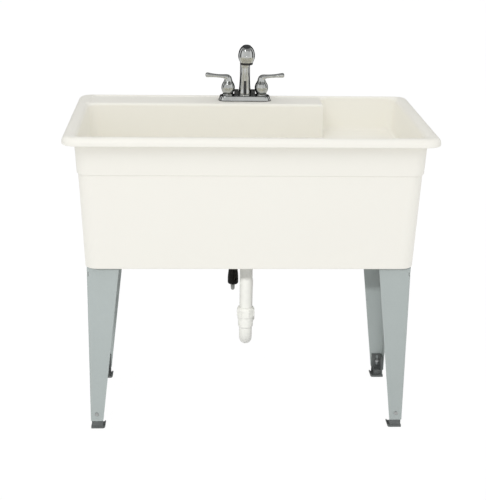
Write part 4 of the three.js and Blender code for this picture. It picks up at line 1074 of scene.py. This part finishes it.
inletSetup = {
    # the bonnet: radius, height over the plate
    "bonnet": [
        (11.3, 0), (16.8, 0), (17.2, 0.4), (17.6, 1.3), (17.4, 2.1), (16.9, 3.1), (16.2, 3.9),
        (11.3, 4),
    ],
    "shankBore": 6,
    "shankFoot": 818,
    "thread": 10.3,
    "threadTop": 871,
    # the shank over its thread: radius, height
    "shank": [
        (10, 875.3), (13.2, 875.3), (13.5, 875.6), (13.5, 883.4), (13.2, 883.7), (6, 883.7),
    ],
}


def buildInlet(setup, side, at):
    profile = lifted(setup["bonnet"], faucet["plateTop"])
    bonnet = turned(f"{side}_bonnet_ring", profile, at, 64, bore=True)
    place(bonnet, "root", "chrome", f"{side}_bonnet")
    foot, thread = setup["shankFoot"], setup["thread"]
    shank = turned(f"{side}_threaded_shank", [
        (setup["shankBore"], foot), (thread - 1.1, foot),
        *threads(thread, foot + 0.6, setup["threadTop"], 1.8, 0.9), *setup["shank"],
    ], at, 40, bore=True)
    place(shank, "root", "brass", f"{side}_inlet_shank")
    for kind, finish, body in (
        ("mounting_nut", "grey_plastic", "root"), ("cartridge", "brass", "root"),
        ("stem", "brass", f"{side}_handle"),
    ):
        dressed(f"{side}_{kind}", f"{side}_{kind}_part", body, finish, 0.35)


for side, sign in (("hot", -1), ("cold", 1)):
    buildHandle(handleSetup, side, sign < 0)
    buildInlet(inletSetup, side, (sign * faucet["handleX"], faucet["y"]))

print("spout and spray")
spoutSetup = {
    "mouth": (-26, 1019.3),  # reach from the column's axis, height
    "mouthRadius": 15.5,
    "mouthDepth": 12,
    "bore": 8.5,
    "boreDepth": 40,
    "bendDrop": 48,  # the bend starts this far under the mouth
    "bendPulls": (26, 20),  # of the bend's curve, at its foot and at the mouth
    "flute": (9, 43, 3),  # upright groove at the front of the foot, lined with painted shade: width, height, depth
    # share of the column's height, half width, half depth
    "column": [
        (0, 18.6, 19), (0.012, 19, 19.5), (0.04, 19.1, 19.6), (0.08, 18.6, 19.1),
        (0.2, 17.6, 18.3), (0.4, 16.3, 17.4), (0.65, 15.4, 16.8), (1, 15, 16.6),
    ],
    # the collar under it: radius, height over the plate
    "collar": [
        (10.4, 0), (19.6, 0), (20, 0.5), (20.2, 2), (20, 3.3), (19.4, 4), (10.4, 4),
    ],
}


def bezier(a, b, c, d, t):
    return (1 - t) ** 3 * a + 3 * t * (1 - t) ** 2 * b + 3 * t ** 2 * (1 - t) * c + t ** 3 * d


def spoutLine(setup, steps=14):
    # the bend from upright to the pull direction: (reach, height, lean)
    reach, height = setup["mouth"]
    start = height - setup["bendDrop"]
    footPull, mouthPull = setup["bendPulls"]
    across = (0, 0, reach + mouthPull * math.cos(pullTilt), reach)
    upward = (start, start + footPull, height - mouthPull * math.sin(pullTilt), height)
    found = []
    for i in range(steps + 1):
        t = i / steps
        low, high = max(0, t - 0.01), min(1, t + 0.01)
        run = bezier(*across, high) - bezier(*across, low)
        rise = bezier(*upward, high) - bezier(*upward, low)
        lean = math.degrees(math.atan2(-run, rise))
        found.append((bezier(*across, t), bezier(*upward, t), lean))
    return found


def buildSpout(setup):
    # from the bore in the mouth over the rim, down the outside and up the bore in the foot
    bend = spoutLine(setup)
    reach, height = setup["mouth"]
    depth = setup["mouthDepth"]
    inward = (reach + depth * math.cos(pullTilt), height - depth * math.sin(pullTilt))
    bore, rim, foot = setup["bore"], setup["mouthRadius"], faucet["foot"]
    lean = bend[-1][2]
    stations = [
        disc(*inward, lean, bore), disc(reach, height, lean, bore),
        disc(reach, height, lean, rim - 0.5), disc(reach + 0.5, height - 0.1, lean, rim),
    ]
    topWide, topDeep = setup["column"][-1][1:]
    for i, (y, z, leaning) in reversed(list(enumerate(bend[:-1]))):
        share = i / (len(bend) - 1)
        ease = share * share * (3 - 2 * share)
        wide = topWide + (rim - topWide) * ease
        deep = topDeep + (rim - topDeep) * ease
        stations.append((y, z, leaning, wide, deep))
    start = bend[0][1]
    for share, wide, deep in reversed(setup["column"][:-1]):
        stations.append((0, foot + (start - foot) * share, 0, wide, deep))
    stations += [disc(0, foot, 0, bore), disc(0, foot + setup["boreDepth"], 0, bore)]
    piece = swept("spout_neck", stations, "X", (0, faucet["y"]), 56, 0)
    place(piece, "spout", "chrome", "spout")
    wide, tall, deep = setup["flute"]
    front = faucet["y"] - setup["column"][1][2]
    groove = block((wide, 2 * deep, tall), (0, front, foot - 1 + tall / 2))
    bevelled(groove, 1.2, 3)
    # the groove's faces take this dark grey plastic from the tool: painted shade inside the groove
    groove.data.materials.append(finishes["grey_plastic"])
    united(piece, "DIFFERENCE", groove)
    shade(piece, 32)

    profile = lifted(setup["collar"], faucet["plateTop"])
    collar = turned("spout_collar_ring", profile, (0, faucet["y"]), 64, bore=True)
    place(collar, "root", "chrome", "spout_collar")


buildSpout(spoutSetup)

headSetup = {
    "at": (0, 150),
    "bottom": 1002.7,
    "height": 52,
    "outlet": 19,
    "half": 24.75,
    "widest": 0.38,  # share of the height
    "bore": 6.3,
    "detail": 0.8,  # size of the mesh that unites egg and neck
    "smooth": 8,
    # reach from the mouth, radius
    "neck": [
        (0.3, 15), (0.8, 15.5), (6, 15.4), (13, 15.5), (20, 15.7), (28, 16), (36, 16.4), (44, 17),
        (52, 17.6), (60, 18.2), (66, 18.4),
    ],
    "hoseDepth": 34,
}
outletSetup = {
    "plug": 18,
    "recess": 7,
    "ring": 18.9,
    "low": 996.7,
    "nozzles": ((0, 1), (5, 6), (10, 12)),  # ring radius, count
}
buttonSetup = {"forward": 3.5, "width": 24, "length": 28, "proud": 0.8, "depth": 12, "gap": 0.5}


def eggOutline(setup, proud=0):
    low, height, half = setup["bottom"], setup["height"], setup["half"]
    widest = low + height * setup["widest"]
    rise = low + height + proud - widest
    foot = setup["outlet"]
    outline = [(foot - 0.7, low), (foot - 0.1, low + 0.4)]
    for i in range(1, 9):
        share = i / 8
        radius = foot + (half - foot) * math.sin(share * math.pi / 2) + proud * share
        outline.append((radius, low + (widest - low) * share))
    for i in range(1, 19):
        angle = i / 18 * math.pi / 2
        radius = max(0.4, (half + proud) * math.cos(angle) ** 0.86)
        outline.append((radius, widest + rise * math.sin(angle)))
    return outline


def alongPull(name, sizes, sides, angle):
    # a round piece along the pull axis: (reach from the spout's mouth, radius)
    reach, height = spoutSetup["mouth"]
    stations = []
    for run, radius in sizes:
        across, rise = run * math.cos(pullTilt), run * math.sin(pullTilt)
        stations.append(disc(reach - across, height + rise, 90 - pullAngle, radius))
    return swept(name, stations, "X", (0, faucet["y"]), sides, angle)


def rod(name, radius, low, high, at):
    return turned(name, [(radius, low), (radius, high)], at, 64, angle=0)


def oval(piece, middle, share):
    # stretches a piece from front to back
    edit(piece)
    bpy.ops.transform.resize(value=(1, share, 1), center_override=Vector(middle) * mm)
    bpy.ops.object.mode_set(mode="OBJECT")
    return piece


def buildSpray(setup, outlet, button):
    at, low = setup["at"], setup["bottom"]
    egg = turned("spray_shell", eggOutline(setup), at, 64, angle=0)
    united(egg, "UNION", alongPull("neck_part", setup["neck"], 64, 0))
    modifier(egg, "REMESH", mode="VOXEL", voxel_size=setup["detail"] * mm)
    modifier(egg, "SMOOTH", factor=0.5, iterations=setup["smooth"])
    recess = rod("recess", outlet["plug"] + 0.3, low - 3, low + outlet["recess"], at)
    bore = setup["bore"]
    hoseWay = alongPull("hose_way", [(-2, bore), (setup["hoseDepth"], bore)], 32, 0)
    crown = low + setup["height"]
    floor = crown - button["depth"]
    buttonAt = (at[0], at[1] - button["forward"])
    half, share = button["width"] / 2, button["length"] / button["width"]
    gap = half + button["gap"]
    well = rod("well", gap, floor - 4, crown + 4, buttonAt)
    oval(well, (*buttonAt, 0), (button["length"] / 2 + button["gap"]) / gap)
    united(egg, "DIFFERENCE", recess, hoseWay, well)
    shade(egg, 38)
    place(egg, "spray", "chrome", "spray_head")

    pad = turned("thumb_button", eggOutline(setup, button["proud"]), at, 64, angle=0)
    column = rod("column", half, floor, crown + 4, buttonAt)
    united(pad, "INTERSECT", oval(column, (*buttonAt, 0), share))
    bevelled(pad, 0.5, 2, 50)
    shade(pad, 35)
    place(pad, "spray_button", "grey_plastic", "spray_button")

    base, ring, plug = outlet["low"], outlet["ring"], outlet["plug"]
    plugTop = low + outlet["recess"] - 1.3
    face = turned("spray_face", [
        (0.4, base + 1), (13.4, base + 1), (14, base + 0.7), (15.4, base), (17.2, base),
        (18.2, base + 0.5), (ring, base + 1.4), (ring, low - 0.3), (plug, low - 0.3),
        (plug, plugTop), (0.4, plugTop),
    ], at, 64, angle=0)
    nubs = []
    nozzle = [(0.7, base - 0.4), (0.9, base - 0.1), (1.2, base + 1.4)]
    for radius, count in outlet["nozzles"]:
        for i in range(count):
            angle = i / count * fullTurn
            spot = (at[0] + radius * math.cos(angle), at[1] + radius * math.sin(angle))
            nubs.append(turned("nub", nozzle, spot, 12, angle=0))
    face = joined(face, *nubs)
    shade(face, 32)
    place(face, "spray", "black_rubber", "spray_outlet")


buildSpray(headSetup, outletSetup, buttonSetup)

pullHose = {
    "behind": 12,
    "ahead": 22,
    "radius": 6,
    "rings": 60,
    "still": 2,  # rings at each end
}


def buildPullHose(setup):
    # the hose on the pull axis, from inside the spout's mouth out towards the spray head
    behind, ahead, rings = setup["behind"], setup["ahead"], setup["rings"]
    sizes = [(-behind + (behind + ahead) * i / rings, setup["radius"]) for i in range(rings + 1)]
    piece = alongPull("pull_hose", sizes, 24, 40)
    place(piece, None, "pull_braid", "hose_stub")
    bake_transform(piece)


buildPullHose(pullHose)

riserSetup = {"bottom": 800, "radius": 6, "bore": 5.4, "pitch": 15.49, "rings": 11}


def buildRiser(setup):
    # the hose inside the spout's column
    bottom, bore = setup["bottom"], setup["bore"]
    rings = [(setup["radius"], bottom + i * setup["pitch"]) for i in range(setup["rings"])]
    profile = [(bore, bottom), *rings, (bore, rings[-1][1])]
    riser = turned("riser_hose", profile, (0, faucet["y"]), 24)
    place(riser, "root", "riser_braid", "hose_riser")


for node, finish in (
    ("hose_guide", "grey_plastic"), ("outlet_tube", "brass"), ("hose_connector", "brass"),
):
    dressed(node, f"{node}_part", "root", finish, 0.3)
buildRiser(riserSetup)

print("hose weight")
weightSetup = {
    "at": (-29, 222),
    "bottom": 281,
    # radius, height above the bottom
    "half": [
        (6.7, 0), (12.6, 0), (14.6, 0.6), (16, 2), (16.8, 4.4), (17, 8), (17, 20), (16.6, 27),
        (15.8, 36), (14.6, 46), (13.2, 56), (12.2, 64), (11.8, 68), (11, 70.6), (9.6, 71.8),
        (6.4, 72),
    ],
    "seam": (1.6, 9, 90),  # width, depth, length of its slots
    "seamAway": 17,  # from the hose
    "seamHeight": 36,
    "screws": (18, 52),
    "screwAt": (8, -9),
    "screwRadius": 3.4,
}


def buildWeight(setup):
    # two moulded halves clamped on the hose, with a seam across the front and a pair of screws
    at, low = setup["at"], setup["bottom"]
    piece = turned("clamp_weight", lifted(setup["half"], low), at, 64, bore=True, angle=0)
    tools = []
    for away in (-setup["seamAway"], setup["seamAway"]):
        tools.append(block(setup["seam"], (at[0], at[1] + away, low + setup["seamHeight"])))
    aside, forward = setup["screwAt"]
    radius = setup["screwRadius"]
    for height in setup["screws"]:
        well = turned("screw_well", [(radius, -3), (radius, 8)], (0, 0), 24, angle=0)
        well.rotation_euler.x = math.radians(90)
        well.location = Vector((at[0] + aside, at[1] + forward, low + height)) * mm
        tools.append(settle(well))
    united(piece, "DIFFERENCE", *tools)
    bevelled(piece, 0.5, 2, 50)
    shade(piece, 35)
    place(piece, "hose_weight", "weight_rubber", "hose_weight")


buildWeight(weightSetup)
